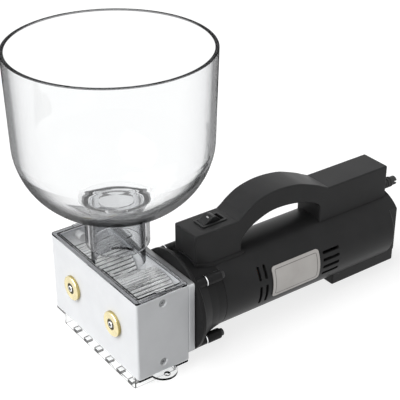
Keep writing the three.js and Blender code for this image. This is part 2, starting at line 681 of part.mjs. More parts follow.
function badgePlate() {
  const start = barrelFront + badge.start;
  const inner = barrel.radius + fit;
  const [low, high] = [badge.bottom, badge.top].map(
    (rise) => THREE.MathUtils.radToDeg(Math.asin(rise / inner)));
  return tubeSector(start, start + badge.length, inner, inner + badge.thickness, low, high, 10);
}

// Handle and switch

function handleSolid() {
  const start = gearFront + handle.start;
  const end = handleEnd;
  const arch = archShares.map(([along, up]) =>
    [gearFront + handle.archStart + along * handle.archSpan, handle.top + up * handle.archRise]);
  const holeRise = handle.holeTop - handle.holeShoulder;
  const hole = holeShares.map(([along, up]) =>
    [gearFront + handle.holeStart + along * handle.holeLength, handle.holeShoulder + up * holeRise]);
  const holeEnd = hole[hole.length - 1][0];
  const outline = [
    [start, 0], [hole[0][0], 0], ...hole, [holeEnd, 0], [end, 0], [end, handle.top], ...arch.reverse(),
    [start, handle.top],
  ];
  const lipSlab = slabY(
    [[start - handle.lip, 0], [start + handle.lipLength, 0], [start + handle.lipLength, flangeRadius],
      [start - handle.lip, flangeRadius]], handle.width + 2 * handle.lip, 0);
  // The gearbox and barrel as one solid, grown by a clearance
  const grown = (grow) => {
    const outer = bodyOutline(grow);
    return turnedX([...outer, [capRear, barrel.radius + grow], [capRear, 0], [outer[0][0], 0]], 44);
  };
  const lip = lipSlab.intersect(grown(fit + handle.lipHeight));
  const pocketLength = rocker.length / 2 + bezel.gap + bezel.wall + fit;
  const pocketWidth = rocker.width / 2 + bezel.gap + bezel.wall + fit;
  const rockerX = gearFront + rocker.x;
  const pocket = block(
    [rockerX - pocketLength, -pocketWidth, handle.top - bezel.pocketDepth],
    [rockerX + pocketLength, pocketWidth, handle.top + overrun]);
  const guardHole = rodX(
    end - cordGuard.shankLength - fit, end + overrun, cordGuard.shank + fit, cordGuard.y, cordGuard.rise, 10);
  return cut(join(slabY(outline, handle.width, handle.edge), lip), grown(fit), pocket, guardHole);
}

function bezelSolid() {
  const x = gearFront + rocker.x;
  const halfLength = rocker.length / 2 + bezel.gap;
  const halfWidth = rocker.width / 2 + bezel.gap;
  const boxOf = (grow, bottom, top) => block(
    [x - halfLength - grow, -halfWidth - grow, bottom], [x + halfLength + grow, halfWidth + grow, top]);
  const seat = handle.top + fit;
  const skirtBottom = handle.top - bezel.pocketDepth + fit;
  const top = seat + bezel.thickness;
  const whole = join(boxOf(bezel.rim, seat, top), boxOf(bezel.wall, skirtBottom, top));
  return cut(whole, boxOf(0, skirtBottom + bezel.wall, top + overrun));
}

// The peaked key, turned about its pivot to its off position
function rockerSolid() {
  const half = rocker.length / 2 - bezel.swing;
  const base = half * rockerShares.underside;
  const outline = [
    [-half, -rocker.pivotDrop], [-base, -rocker.depth], [base, -rocker.depth], [half, -rocker.pivotDrop],
    [half, rocker.pivotDrop], [rocker.crown / 2, rocker.peak + rocker.pivotDrop],
    [-rocker.crown / 2, rocker.peak + rocker.pivotDrop], [-half, rocker.pivotDrop],
  ];
  return slabY(outline, rocker.width, 0);
}

function cordGuardSolid() {
  const face = handleEnd + fit;
  const end = face + cordGuard.length;
  const ribPitch = (cordGuard.length - cordGuard.flangeLength - cordGuard.slotDepth) / (cordGuard.ribs + 1);
  const ribs = Array.from({ length: cordGuard.ribs }, (_, i) => {
    const middle = face + cordGuard.flangeLength + (i + 1) * ribPitch;
    return rodX(middle - ribPitch / 4, middle + ribPitch / 4, cordGuard.radius + cordGuard.rib, 0, 0, 10);
  });
  const whole = join(
    rodX(face - cordGuard.shankLength, face + overrun, cordGuard.shank, 0, 0, 10),
    rodX(face, face + cordGuard.flangeLength, cordGuard.flange, 0, 0, 10),
    rodX(face, end, cordGuard.radius, 0, 0, 10), ...ribs);
  const slot = block(
    [end - cordGuard.slotDepth, -cordGuard.flange, -cordGuard.slot / 2],
    [end + overrun, cordGuard.flange, cordGuard.slot / 2]);
  const bore = rodX(face - cordGuard.shankLength - overrun, end + overrun, cordGuard.bore, 0, 0, 8);
  return cut(whole, bore, slot);
}

// The whole mill

const mill = new THREE.Group();
mill.name = 'electric_grain_mill';

mill.add(piece('outlet_tray', outletTray(), 'clear'));

const headGroup = new THREE.Group();
headGroup.position.z = headBottom;
headGroup.add(piece('mill_housing', millHousing(), 'satinAluminium'));
headGroup.add(piece('back_plate', backPlateSolid(), 'satinAluminium'));
mill.add(headGroup);

const rollerGroup = new THREE.Group();
rollerGroup.position.z = axisZ;
for (const [name, side] of sides) {
  const kind = name === 'near' ? 'drive' : 'idler';
  const line = new THREE.Group();
  line.position.y = side * rollerSpacing / 2;
  line.add(piece(`roller_${kind}`, rollerSolid(kind === 'drive'), 'steel'));
  line.add(piece(`front_bush_${kind}`, frontBush(), 'brass'));
  line.add(piece(`rear_bush_${kind}`, rearBush(), 'brass'));
  line.add(piece(`shaft_screw_${kind}`, shaftScrewSolid(), 'chrome'));
  rollerGroup.add(line);
  for (const [levelName, level] of levels) {
    rollerGroup.add(piece(`guide_block_${name}_${levelName}`, guideBlock(side, level), 'nylon'));
    rollerGroup.add(piece(`side_screw_${name}_${levelName}`, sideScrewSolid(side, level), 'steel'));
  }
}
mill.add(rollerGroup);

const coverGroup = new THREE.Group();
coverGroup.position.z = coverBase;
coverGroup.add(piece('top_cover', topCover(), 'clear'));
mill.add(coverGroup);

const hopperMesh = piece('hopper', hopperSolid(), 'clear');
hopperMesh.position.set(neckX, 0, neckTop + fit);
mill.add(hopperMesh);

const motor = new THREE.Group();
motor.position.set(0, motorY, axisZ);
motor.add(piece('gearbox_housing', gearboxHousing(), 'blackPlastic'));
for (const { name, y, z } of lugPlaces()) {
  const screw = piece(`flange_screw_${name}`, flangeScrewSolid(), 'chrome');
  screw.position.set(0, y, z);
  motor.add(screw);
}
motor.add(piece('gear_ring', ringGear(), 'steel'));
motor.add(piece('gear_sun', outerGear(gearTrain.sun, shaft.nose + fit, 0), 'steel'));
motor.add(piece('planet_carrier', planetCarrier(), 'steel'));
for (let i = 0; i < gearTrain.planets; i += 1) {
  const phase = planetAngle(i) + Math.PI + Math.PI / gearTrain.planet;
  const gear = outerGear(gearTrain.planet, gearTrain.pin + fit, phase);
  const planet = piece(`gear_planet_${i + 1}`, gear, 'nylon');
  planet.position.set(0, planetOrbit * Math.cos(planetAngle(i)), planetOrbit * Math.sin(planetAngle(i)));
  motor.add(planet);
}
motor.add(piece('gearbox_cover', gearboxCover(), 'satinAluminium'));
motor.add(piece('bearing_front', bearingAt(barrelFront), 'steel'));
motor.add(piece('bearing_rear', bearingAt(rearBearingStart), 'steel'));
motor.add(piece('motor_shaft', motorShaft(), 'steel'));
motor.add(piece('armature_core', armatureCore(), 'copper'));
motor.add(piece('commutator', commutatorSolid(), 'copper'));
motor.add(piece('fan', fanSolid(), 'nylon'));
motor.add(piece('stator', statorSolid(), 'steel'));
for (const [name, side] of sides) motor.add(piece(`brush_${name}`, brushSolid(side), 'carbon'));
motor.add(piece('motor_housing', motorHousing(), 'blackPlastic'));
motor.add(piece('badge_plate', badgePlate(), 'badge'));
motor.add(piece('handle', handleSolid(), 'blackPlastic'));
motor.add(piece('switch_bezel', bezelSolid(), 'blackPlastic'));

const rockerMesh = piece('switch_rocker', rockerSolid(), 'blackPlastic');
rockerMesh.position.set(gearFront + rocker.x, 0, handle.top - rocker.pivotDrop);
rockerMesh.rotation.y = THREE.MathUtils.degToRad(rocker.tilt);
motor.add(rockerMesh);

const guardMesh = piece('cord_guard', cordGuardSolid(), 'blackPlastic');
guardMesh.position.set(0, cordGuard.y, cordGuard.rise);
motor.add(guardMesh);
mill.add(motor);

// The origin lies on the foot of the tray, under its row of lugs and half way between the rollers
for (const child of mill.children) child.position.x -= tray.wall + trayLug.depth / 2;

export default mill;
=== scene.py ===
import math

import bmesh
import bpy
from mathutils import Matrix, Vector


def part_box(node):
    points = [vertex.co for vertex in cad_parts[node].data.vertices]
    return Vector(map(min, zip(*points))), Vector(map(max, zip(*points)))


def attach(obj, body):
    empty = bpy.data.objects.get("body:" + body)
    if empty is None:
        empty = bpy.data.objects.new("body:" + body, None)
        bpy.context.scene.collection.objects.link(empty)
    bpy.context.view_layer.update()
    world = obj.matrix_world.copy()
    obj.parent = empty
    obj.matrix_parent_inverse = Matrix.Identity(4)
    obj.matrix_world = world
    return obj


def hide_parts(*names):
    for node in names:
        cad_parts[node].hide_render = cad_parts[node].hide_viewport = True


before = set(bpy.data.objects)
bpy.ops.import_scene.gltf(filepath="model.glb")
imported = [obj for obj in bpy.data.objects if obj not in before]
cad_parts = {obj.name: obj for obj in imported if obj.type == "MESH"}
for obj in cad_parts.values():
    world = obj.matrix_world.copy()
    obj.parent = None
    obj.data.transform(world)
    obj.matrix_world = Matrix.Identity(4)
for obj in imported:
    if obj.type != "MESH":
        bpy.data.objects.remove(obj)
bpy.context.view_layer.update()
scene = bpy.context.scene

# Sizes in millimetres, with x = 0 at the front face of the mill head and z = 0 under the tray
# The model's own origin lies under the tray's row of lugs, behind that face
MM = 0.001
X, Y, Z = 0, 1, 2
SIDES = (-1, 1)
SET_BACK = round(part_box("mill_housing")[0].x / MM, 2)


def span(node, axis):
    """Where a CAD node begins and ends along an axis."""
    low, high = (round(corner[axis] / MM, 2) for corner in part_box(node))
    shift = SET_BACK if axis == X else 0
    return low - shift, high - shift


PLAY = 0.3
OVERRUN = 2.0
HEAD_DEPTH = span("mill_housing", X)[1]
HEAD_HALF = span("mill_housing", Y)[1]
HEAD_LOW, HEAD_HIGH = span("mill_housing", Z)
FRONT_WALL, BUSH_HOLE, JOURNAL = 4.0, 10.0, 7.0
PLATE_FRONT, PLATE_REAR = span("back_plate", X)
GEAR_FRONT, GEAR_REAR = span("gearbox_housing", X)
BARREL_FRONT, CAP_REAR = span("motor_housing", X)
BARREL_REAR = CAP_REAR - 9.8
ROLLER_Y, AXIS_Z = (sum(span("front_bush_idler", axis)) / 2 for axis in (Y, Z))
MOTOR_Y = -ROLLER_Y
MOTOR = (MOTOR_Y, AXIS_Z)
BARREL_R = span("motor_housing", Y)[1] - MOTOR_Y
COVER_Z = HEAD_HIGH + PLAY
NECK_X = sum(span("hopper", X)) / 2
NECK_R, NECK_BORE = 24.4, 21.9
SEAT_Z = span("top_cover", Z)[1] + PLAY
ROLLER_AXES = [(side * ROLLER_Y, AXIS_Z) for side in SIDES]
ROLLER_BODIES = {"drive": "drive_train", "idler": "idler"}
LUG_OFFSET, SCREW_HOLE = 31.5, 2.3
LUGS = [(f"{near_far}_{level}", (MOTOR_Y + side * LUG_OFFSET, AXIS_Z + up * LUG_OFFSET))
        for near_far, side in (("near", -1), ("far", 1)) for level, up in (("top", 1), ("bottom", -1))]
HANDLE_TOP = AXIS_Z + 68.2
HANDLE_START, HANDLE_END = GEAR_FRONT + 15.5, GEAR_FRONT + 248.3
SWITCH_X = GEAR_FRONT + 43.5
CORD = (MOTOR_Y - 7.2, AXIS_Z + 42.2)


# Materials, with lengths in metres

def new_material(name):
    material = bpy.data.materials.new(name)
    material.use_nodes = True
    nodes, links = material.node_tree.nodes, material.node_tree.links
    nodes.clear()
    output = nodes.new("ShaderNodeOutputMaterial")
    shader = nodes.new("ShaderNodeBsdfPrincipled")
    links.new(shader.outputs[0], output.inputs["Surface"])
    return material, nodes, links, shader, output


def object_coordinates(nodes, links, scale=(1, 1, 1), origin=(0, 0, 0)):
    place = nodes.new("ShaderNodeTexCoord")
    mapping = nodes.new("ShaderNodeMapping")
    mapping.inputs["Scale"].default_value = scale
    mapping.inputs["Location"].default_value = [-value for value in origin]
    links.new(place.outputs["Object"], mapping.inputs["Vector"])
    return mapping.outputs["Vector"]


def noise(nodes, links, where, scale, detail=3.0, roughness=0.55):
    texture = nodes.new("ShaderNodeTexNoise")
    texture.inputs["Scale"].default_value = scale
    texture.inputs["Detail"].default_value = detail
    texture.inputs["Roughness"].default_value = roughness
    links.new(where, texture.inputs["Vector"])
    return texture.outputs["Fac"]


def ramp(nodes, links, factor, low, high, start=0.35, end=0.65):
    node = nodes.new("ShaderNodeValToRGB")
    for element, place, colour in zip(node.color_ramp.elements, (start, end), (low, high)):
        element.position = place
        element.color = (*colour, 1)
    links.new(factor, node.inputs["Fac"])
    return node.outputs["Color"]


def spread(nodes, links, factor, low, high):
    node = nodes.new("ShaderNodeMapRange")
    node.inputs["To Min"].default_value = low
    node.inputs["To Max"].default_value = high
    links.new(factor, node.inputs["Value"])
    return node.outputs["Result"]


def bump(nodes, links, shader, height, distance, strength):
    node = nodes.new("ShaderNodeBump")
    node.inputs["Distance"].default_value = distance
    node.inputs["Strength"].default_value = strength
    links.new(height, node.inputs["Height"])
    links.new(node.outputs["Normal"], shader.inputs["Normal"])


def mixed(nodes, links, factor, first, second):
    """The first shader where the factor, a number or an output, is 0, and the second where it is 1."""
    mix = nodes.new("ShaderNodeMixShader")
    if isinstance(factor, float):
        mix.inputs["Fac"].default_value = factor
    else:
        links.new(factor, mix.inputs["Fac"])
    links.new(first, mix.inputs[1])
    links.new(second, mix.inputs[2])
    return mix.outputs[0]


def grained(name, low, high, rough, metallic=0.0, tone_scale=60, grain_scale=1800, depth=0.00004,
            strength=0.4, stretch=(1, 1, 1), specular=0.5):
    """A solid finish with a faint change of tone and a fine grain."""
    material, nodes, links, shader, _ = new_material(name)
    tone = noise(nodes, links, object_coordinates(nodes, links), tone_scale)
    grain = noise(nodes, links, object_coordinates(nodes, links, stretch), grain_scale)
    links.new(ramp(nodes, links, tone, low, high), shader.inputs["Base Color"])
    links.new(spread(nodes, links, grain, *rough), shader.inputs["Roughness"])
    shader.inputs["Metallic"].default_value = metallic
    shader.inputs["Specular IOR Level"].default_value = specular
    bump(nodes, links, shader, grain, depth, strength)
    return material


def turned_brass(name, centre):
    """Bright brass with fine tool rings about an axis along x."""
    colour, shade, rough, metallic = (0.86, 0.76, 0.45), 0.86, (0.14, 0.26), 0.95
    pitch, depth, strength, waver, tone_scale = 0.0011, 0.00002, 0.3, 0.4, 90
    material, nodes, links, shader, _ = new_material(name)
    where = object_coordinates(nodes, links, origin=(0, centre[0] * MM, centre[1] * MM))
    wave = nodes.new("ShaderNodeTexWave")
    wave.wave_type = "RINGS"
    wave.rings_direction = "X"
    wave.inputs["Scale"].default_value = 1 / pitch
    wave.inputs["Distortion"].default_value = waver
    wave.inputs["Detail"].default_value = 2
    links.new(where, wave.inputs["Vector"])
    darker = tuple(value * shade for value in colour)
    tone = noise(nodes, links, where, tone_scale)
    links.new(ramp(nodes, links, tone, darker, colour), shader.inputs["Base Color"])
    links.new(spread(nodes, links, wave.outputs["Fac"], *rough), shader.inputs["Roughness"])
    shader.inputs["Metallic"].default_value = metallic
    bump(nodes, links, shader, wave.outputs["Fac"], depth, strength)
    return material


def facing_ramp(nodes, links, stops):
    """A value that follows how far the surface turns away, as (facing, value) stops."""
    blue = 1.01
    layer = nodes.new("ShaderNodeLayerWeight")
    layer.inputs["Blend"].default_value = 0.5
    node = nodes.new("ShaderNodeValToRGB")
    elements = node.color_ramp.elements
    elements.remove(elements[1])
    for i, (place, value) in enumerate(stops):
        element = elements.new(place) if i else elements[0]
        element.position = place
        element.color = (value, value, value * blue, 1)
    links.new(layer.outputs["Facing"], node.inputs["Fac"])
    return node.outputs["Color"]


def turned_away(nodes, links):
    """1 on an outside that turns away, 0 on one that faces this way and on every inside."""
    side = nodes.new("ShaderNodeNewGeometry")
    outside = nodes.new("ShaderNodeMath")
    outside.operation = "SUBTRACT"
    outside.use_clamp = True
    links.new(facing_ramp(nodes, links, [(0.3, 0), (0.6, 1)]), outside.inputs[0])
    links.new(side.outputs["Backfacing"], outside.inputs[1])
    return outside.outputs[0]


def clear(name, tint, rough=0.012, ior=1.49, edge=None, shade=None, through=0.92, mostly=0.85):
    """Clear plastic that bends light and lets the lamps through to what is under it.

    Edge stops paint shade on it where it turns away: darker edges that stand in for dark surroundings seen
    through them. A shade, or edge stops with a shade, paint shade on it all over, by the share that mostly
    gives.
    """
    blue, ripple_scale, ripple_depth, ripple_strength = 1.02, 14, 0.0005, 0.2
    material, nodes, links, shader, output = new_material(name)
    shader.inputs["Base Color"].default_value = (*tint, 1)
    shader.inputs["Transmission Weight"].default_value = 1
    shader.inputs["IOR"].default_value = ior
    ripple = noise(nodes, links, object_coordinates(nodes, links), ripple_scale, 1.0)
    links.new(spread(nodes, links, ripple, rough * 0.5, rough * 1.5), shader.inputs["Roughness"])
    bump(nodes, links, shader, ripple, ripple_depth, ripple_strength)
    surface = shader.outputs[0]
    if edge or shade:
        bend = nodes.new("ShaderNodeBsdfRefraction")
        bend.inputs["IOR"].default_value = ior
        bend.inputs["Roughness"].default_value = rough
        if edge:
            links.new(facing_ramp(nodes, links, edge), bend.inputs["Color"])
        else:
            bend.inputs["Color"].default_value = (shade, shade, shade * blue, 1)
        share = mostly if shade else turned_away(nodes, links)
        surface = mixed(nodes, links, share, surface, bend.outputs[0])
    open_way = nodes.new("ShaderNodeBsdfTransparent")
    open_way.inputs["Color"].default_value = (through, through, through, 1)
    path = nodes.new("ShaderNodeLightPath")
    surface = mixed(nodes, links, path.outputs["Is Shadow Ray"], surface, open_way.outputs[0])
    links.new(surface, output.inputs["Surface"])
    return material


def seen(nodes, links):
    """1 where the camera, a reflection or a look through glass meets the surface."""
    path = nodes.new("ShaderNodeLightPath")
    total = path.outputs["Is Camera Ray"]
    for name in ("Is Glossy Ray", "Is Transmission Ray"):
        most = nodes.new("ShaderNodeMath")
        most.operation = "MAXIMUM"
        links.new(total, most.inputs[0])
        links.new(path.outputs[name], most.inputs[1])
        total = most.outputs[0]
    return total


def stage_material(name, shade, shown, glow):
    """A pale surface that the camera, gloss and glass see a little brighter than it lights the part."""
    material, nodes, links, shader, output = new_material(name)
    shader.inputs["Base Color"].default_value = (shade, shade, shade, 1)
    shader.inputs["Roughness"].default_value = 1
    shader.inputs["Specular IOR Level"].default_value = 0
    bright = nodes.new("ShaderNodeBsdfDiffuse")
    bright.inputs["Color"].default_value = (shown, shown, shown, 1)
    light = nodes.new("ShaderNodeEmission")
    light.inputs["Color"].default_value = (1, 1, 1, 1)
    light.inputs["Strength"].default_value = glow
    both = nodes.new("ShaderNodeAddShader")
    links.new(bright.outputs[0], both.inputs[0])
    links.new(light.outputs[0], both.inputs[1])
    surface = mixed(nodes, links, seen(nodes, links), shader.outputs[0], both.outputs[0])
    links.new(surface, output.inputs["Surface"])
    return material


# Clear plastics: the stops are (how far it turns away, how much light still comes through)
# The darkening at turned-away walls is painted shade, standing in for dark surroundings seen through them
WALL_EDGE_SHADE = [(0.0, 0.96), (0.286, 0.91), (0.473, 0.84), (0.564, 0.77), (0.604, 0.69), (0.648, 0.58),
             (0.673, 0.46), (0.70, 0.29), (1.0, 0.19)]
# Painted shade: the lower bowl wall darkens more at its edges than the upper wall
LOW_EDGE_SHADE = [(0.0, 0.96), (0.3, 0.86), (0.45, 0.66), (0.55, 0.43), (0.62, 0.28), (0.67, 0.19), (0.70, 0.15),
            (1.0, 0.10)]
# Painted shade: the skirt's edges darken more than the wall's
SKIRT_EDGE_SHADE = [(facing * 0.92, value * 0.9) for facing, value in WALL_EDGE_SHADE]
# The throat's tint is a greyer copy of the clear tint, painted shade for the throat and skirt
CLEAR_TINT, THROAT_SHADE_TINT, TRAY_TINT = (0.937, 0.942, 0.943), (0.88, 0.885, 0.89), (0.96, 0.967, 0.967)
# The second smoke is a darker copy of the cover's own, painted shade for its frame, steps, neck and tab
PALE_SMOKE, DARK_SMOKE_SHADE = (0.87, 0.88, 0.885), (0.77, 0.78, 0.785)
SOFT_BEND = 1.2
HOPPER_KINDS = [
    # The outside's edge stops paint shade on its turned-away walls
    clear("clear_plastic_outside", CLEAR_TINT, edge=WALL_EDGE_SHADE),
    clear("clear_plastic_inside", CLEAR_TINT),
    # Painted shade: the clear rim's top is darkened all over into a dark grey band
    clear("clear_plastic_rim_shade", CLEAR_TINT, shade=0.24, mostly=0.95),
    # Painted shade: the narrow steps under the bowl and over its floor are darkened into dark rings
    clear("clear_plastic_step_shade", CLEAR_TINT, ior=SOFT_BEND, shade=0.16, mostly=0.95),
    # Painted shade: the throat and skirt get the greyer tint; the skirt also gets darker edges and a
    # darkening all over
    clear("clear_plastic_throat_shade", THROAT_SHADE_TINT, ior=SOFT_BEND),
    clear("clear_plastic_skirt_shade", THROAT_SHADE_TINT, ior=SOFT_BEND, edge=SKIRT_EDGE_SHADE, shade=1, mostly=0.75),
    # The lower wall's stronger painted edge shade
    clear("clear_plastic_low_shade", CLEAR_TINT, edge=LOW_EDGE_SHADE),
]
OUTSIDE, INSIDE, RIM_SHADE, STEP_SHADE, THROAT_SHADE, SKIRT_SHADE, LOW_WALL_SHADE = range(len(HOPPER_KINDS))
# Painted shade: the cover's frame, inner steps, neck and tab sides are darker copies of its panel's smoked
# plastic
COVER_KINDS = [
    clear("smoked_plastic", PALE_SMOKE, 0.02, edge=WALL_EDGE_SHADE, through=0.9),
    clear("smoked_plastic_edge_shade", DARK_SMOKE_SHADE, 0.02, shade=0.46, through=0.9, mostly=0.95),
    clear("smoked_plastic_step_shade", DARK_SMOKE_SHADE, 0.02, shade=0.8, through=0.9),
    clear("smoked_plastic_neck_shade", DARK_SMOKE_SHADE, 0.02, edge=WALL_EDGE_SHADE, through=0.9),
    clear("smoked_plastic_tab_shade", DARK_SMOKE_SHADE, 0.02, shade=0.08, through=0.9),
]
PANEL, COVER_EDGE_SHADE, COVER_STEP_SHADE, NECK_SHADE, TAB_EDGE_SHADE = range(len(COVER_KINDS))
TRAY_CLEAR = clear("tray_plastic", TRAY_TINT)
# Painted shade: near-black lines on the clear tray's rounded edges, flange ends and lug sides
TRAY_EDGE_SHADE = clear("tray_plastic_edge_shade", TRAY_TINT, shade=0.02, mostly=0.99)

# Metals
ALUMINIUM = grained("blasted_aluminium", (0.70, 0.71, 0.725), (0.735, 0.745, 0.76), (0.5, 0.6), 0.1,
                    tone_scale=45, grain_scale=2600, depth=0.00003, strength=0.35)
# Painted shade: darker aluminium for the back plate's top face
PLATE_TOP_SHADE = grained("plate_top_shade_aluminium", (0.21, 0.212, 0.216), (0.28, 0.283, 0.288), (0.3, 0.45), 0.5,
               tone_scale=70, grain_scale=900, strength=0.5, stretch=(1, 0.1, 1))
STEEL = grained("machined_steel", (0.50, 0.51, 0.52), (0.58, 0.59, 0.60), (0.22, 0.36), 1.0,
                tone_scale=70, grain_scale=1200, depth=0.00002, strength=0.3)
SIDE_STEEL = grained("side_screw_steel", (0.24, 0.245, 0.25), (0.30, 0.305, 0.31), (0.3, 0.42), 0.6,
                     tone_scale=70, grain_scale=1200)
ROLLER_STEEL = grained("roller_steel", (0.90, 0.897, 0.89), (0.97, 0.967, 0.96), (0.2, 0.36), 0.9,
                       tone_scale=40, grain_scale=600, depth=0.00003, stretch=(0.15, 1, 1))
# Painted shade: darker steel in the flutes' roots
ROLLER_ROOT_SHADE = grained("roller_flute_root_shade", (0.20, 0.20, 0.202), (0.27, 0.27, 0.272), (0.3, 0.45), 0.9,
                      tone_scale=40, grain_scale=600)
CHROME = grained("polished_chrome", (0.80, 0.81, 0.82), (0.86, 0.87, 0.88), (0.06, 0.12), 1.0,
                 grain_scale=500, depth=0.00001, strength=0.15)
DARK_STEEL = grained("blackened_steel", (0.02, 0.02, 0.021), (0.03, 0.03, 0.031), (0.35, 0.45), 0.3,
                     grain_scale=900)
SOCKET = grained("socket_shade", (0.05, 0.05, 0.052), (0.08, 0.08, 0.083), (0.4, 0.5), 0.3, grain_scale=900)
BRASS = {kind: turned_brass(f"brass_{kind}", centre) for kind, centre in zip(ROLLER_BODIES, ROLLER_AXES)}
# Painted reflection: darker brass on the flange's rim, standing in for dark surroundings mirrored there
BRASS_SIDE_SHADE = grained("brass_side_shade", (0.42, 0.34, 0.13), (0.52, 0.43, 0.19), (0.2, 0.32), 0.9, grain_scale=900)
BRASS_SHADE = grained("brass_shade", (0.10, 0.085, 0.04), (0.15, 0.13, 0.06), (0.3, 0.4), 0.8,
                      grain_scale=900)
COPPER = grained("copper", (0.52, 0.24, 0.12), (0.62, 0.32, 0.18), (0.3, 0.45), 1.0,
                 tone_scale=40, grain_scale=700, depth=0.00005, strength=0.5, stretch=(1, 12, 12))
BADGE = grained("brushed_badge", (0.36, 0.345, 0.33), (0.42, 0.405, 0.39), (0.3, 0.48), 0.75,
                tone_scale=25, grain_scale=900, depth=0.00002, stretch=(0.08, 1, 1))
BADGE_LINE = grained("badge_border", (0.12, 0.115, 0.11), (0.16, 0.15, 0.145), (0.4, 0.5), 0.5,
                     grain_scale=900)

# Plastics, rubber and carbon
BLACK = grained("black_plastic", (0.015, 0.015, 0.0154), (0.019, 0.019, 0.0194), (0.36, 0.46),
                tone_scale=30, grain_scale=1500, depth=0.00005, strength=0.45, specular=0.17)
GEAR_BLACK = grained("gearbox_plastic", (0.0095, 0.0095, 0.0098), (0.0125, 0.0125, 0.0128), (0.4, 0.5),
                     tone_scale=30, grain_scale=1500, depth=0.00005, strength=0.45, specular=0.14)
SWITCH = grained("switch_plastic", (0.008, 0.008, 0.0085), (0.010, 0.010, 0.0105), (0.28, 0.38),
                 grain_scale=1200, depth=0.00003, strength=0.3, specular=0.3)
MARK = grained("switch_mark", (0.36, 0.36, 0.36), (0.42, 0.42, 0.42), (0.4, 0.5), tone_scale=200,
               grain_scale=1500)
RUBBER = grained("black_rubber", (0.02, 0.02, 0.02), (0.026, 0.026, 0.026), (0.6, 0.72), tone_scale=80,
                 grain_scale=1400)
GUIDE_PLASTIC = grained("guide_plastic", (0.42, 0.42, 0.425), (0.5, 0.5, 0.505), (0.4, 0.55), tone_scale=50,
                        grain_scale=900)
NYLON = grained("nylon", (0.66, 0.64, 0.58), (0.72, 0.70, 0.64), (0.45, 0.6), tone_scale=50, grain_scale=900)
CARBON = grained("carbon", (0.03, 0.03, 0.033), (0.05, 0.05, 0.055), (0.55, 0.7), grain_scale=900)


# Mesh tools, in millimetres

TINY = 1e-6


def held(mesh, name="work"):
    thing = bpy.data.objects.new(name, mesh)
    scene.collection.objects.link(thing)
    return thing


def from_bmesh(bm, name="work"):
    bmesh.ops.recalc_face_normals(bm, faces=bm.faces)
    mesh = bpy.data.meshes.new(name)
    bm.to_mesh(mesh)
    bm.free()
    return held(mesh, name)


def discard(thing):
    mesh = thing.data
    bpy.data.objects.remove(thing)
    bpy.data.meshes.remove(mesh)


def settle(thing):
    """Applies a thing's modifiers to its mesh."""
    bpy.context.view_layer.update()
    graph = bpy.context.evaluated_depsgraph_get()
    mesh = bpy.data.meshes.new_from_object(thing.evaluated_get(graph))
    thing.modifiers.clear()
    old = thing.data
    thing.data = mesh
    bpy.data.meshes.remove(old)
    return thing


def merged(things):
    bm = bmesh.new()
    for thing in things:
        bm.from_mesh(thing.data)
        discard(thing)
    mesh = bpy.data.meshes.new("work")
    bm.to_mesh(mesh)
    bm.free()
    return held(mesh)


def boolean(base, other, kind):
    modifier = base.modifiers.new("boolean", "BOOLEAN")
    modifier.operation = kind
    modifier.solver = "MANIFOLD"
    modifier.object = other
    settle(base)
    discard(other)
    return base


def cut(base, *others):
    return boolean(base, merged(others) if len(others) > 1 else others[0], "DIFFERENCE")


def add(base, *others):
    for other in others:
        boolean(base, other, "UNION")
    return base


def common(base, other):
    return boolean(base, other, "INTERSECT")


def rounded_edges(thing, width, segments=3, angle=50, material=-1):
    """Rounds the edges sharper than an angle; a material above 0 is the slot that the new faces get."""
    if material > 0:
        thing.data.materials.clear()
        for _ in range(material + 1):
            thing.data.materials.append(CARBON)
        for face in thing.data.polygons:
            face.material_index = 0
    modifier = thing.modifiers.new("bevel", "BEVEL")
    modifier.material = material
    modifier.width = width
    modifier.segments = segments
    modifier.limit_method = "ANGLE"
    modifier.angle_limit = math.radians(angle)
    modifier.miter_outer = "MITER_ARC"
    modifier.use_clamp_overlap = True
    return settle(thing)


def fillet(points, steps=5, radius=0.0):
    """A closed outline of (u, v) or (u, v, own radius) points with its corners rounded."""
    straight, side_share = math.radians(176), 0.49
    out = []
    count = len(points)
    for i, point in enumerate(points):
        wanted = point[2] if len(point) > 2 else radius
        here = Vector(point[:2])
        before = Vector(points[i - 1][:2]) - here
        after = Vector(points[(i + 1) % count][:2]) - here
        if wanted <= 0 or min(before.length, after.length) < TINY or before.angle(after) > straight:
            out.append(tuple(here))
            continue
        a, b = before.normalized(), after.normalized()
        half_turn = a.angle(b) / 2
        reach = min(wanted / math.tan(half_turn), before.length * side_share, after.length * side_share)
        real = reach * math.tan(half_turn)
        middle = here + (a + b).normalized() * (real / math.sin(half_turn))
        start, end = here + a * reach - middle, here + b * reach - middle
        sweep = math.atan2(start.x * end.y - start.y * end.x, start.dot(end))
        for k in range(steps + 1):
            c, s = math.cos(sweep * k / steps), math.sin(sweep * k / steps)
            out.append((middle.x + start.x * c - start.y * s, middle.y + start.x * s + start.y * c))
    return out


def at(axis, along, u, v):
    return {"x": (along, u, v), "y": (u, along, v), "z": (u, v, along)}[axis]


def prism(axis, outline, low, high):
    bm = bmesh.new()
    bottom = [bm.verts.new(at(axis, low, u, v)) for u, v in outline]
    top = [bm.verts.new(at(axis, high, u, v)) for u, v in outline]
    bm.faces.new(bottom)
    bm.faces.new(list(reversed(top)))
    for i in range(len(outline)):
        j = (i + 1) % len(outline)
        bm.faces.new((bottom[i], bottom[j], top[j], top[i]))
    return from_bmesh(bm)


def rectangle(u0, u1, v0, v1, radius=0.0, steps=5):
    return fillet([(u0, v0), (u1, v0), (u1, v1), (u0, v1)], steps, radius)


def hexagon(centre, radius):
    return [(centre[0] + radius * math.cos(k * math.pi / 3), centre[1] + radius * math.sin(k * math.pi / 3))
            for k in range(6)]


def block(low, high, radius=0.0):
    return prism("z", rectangle(low[X], high[X], low[Y], high[Y], radius), low[Z], high[Z])


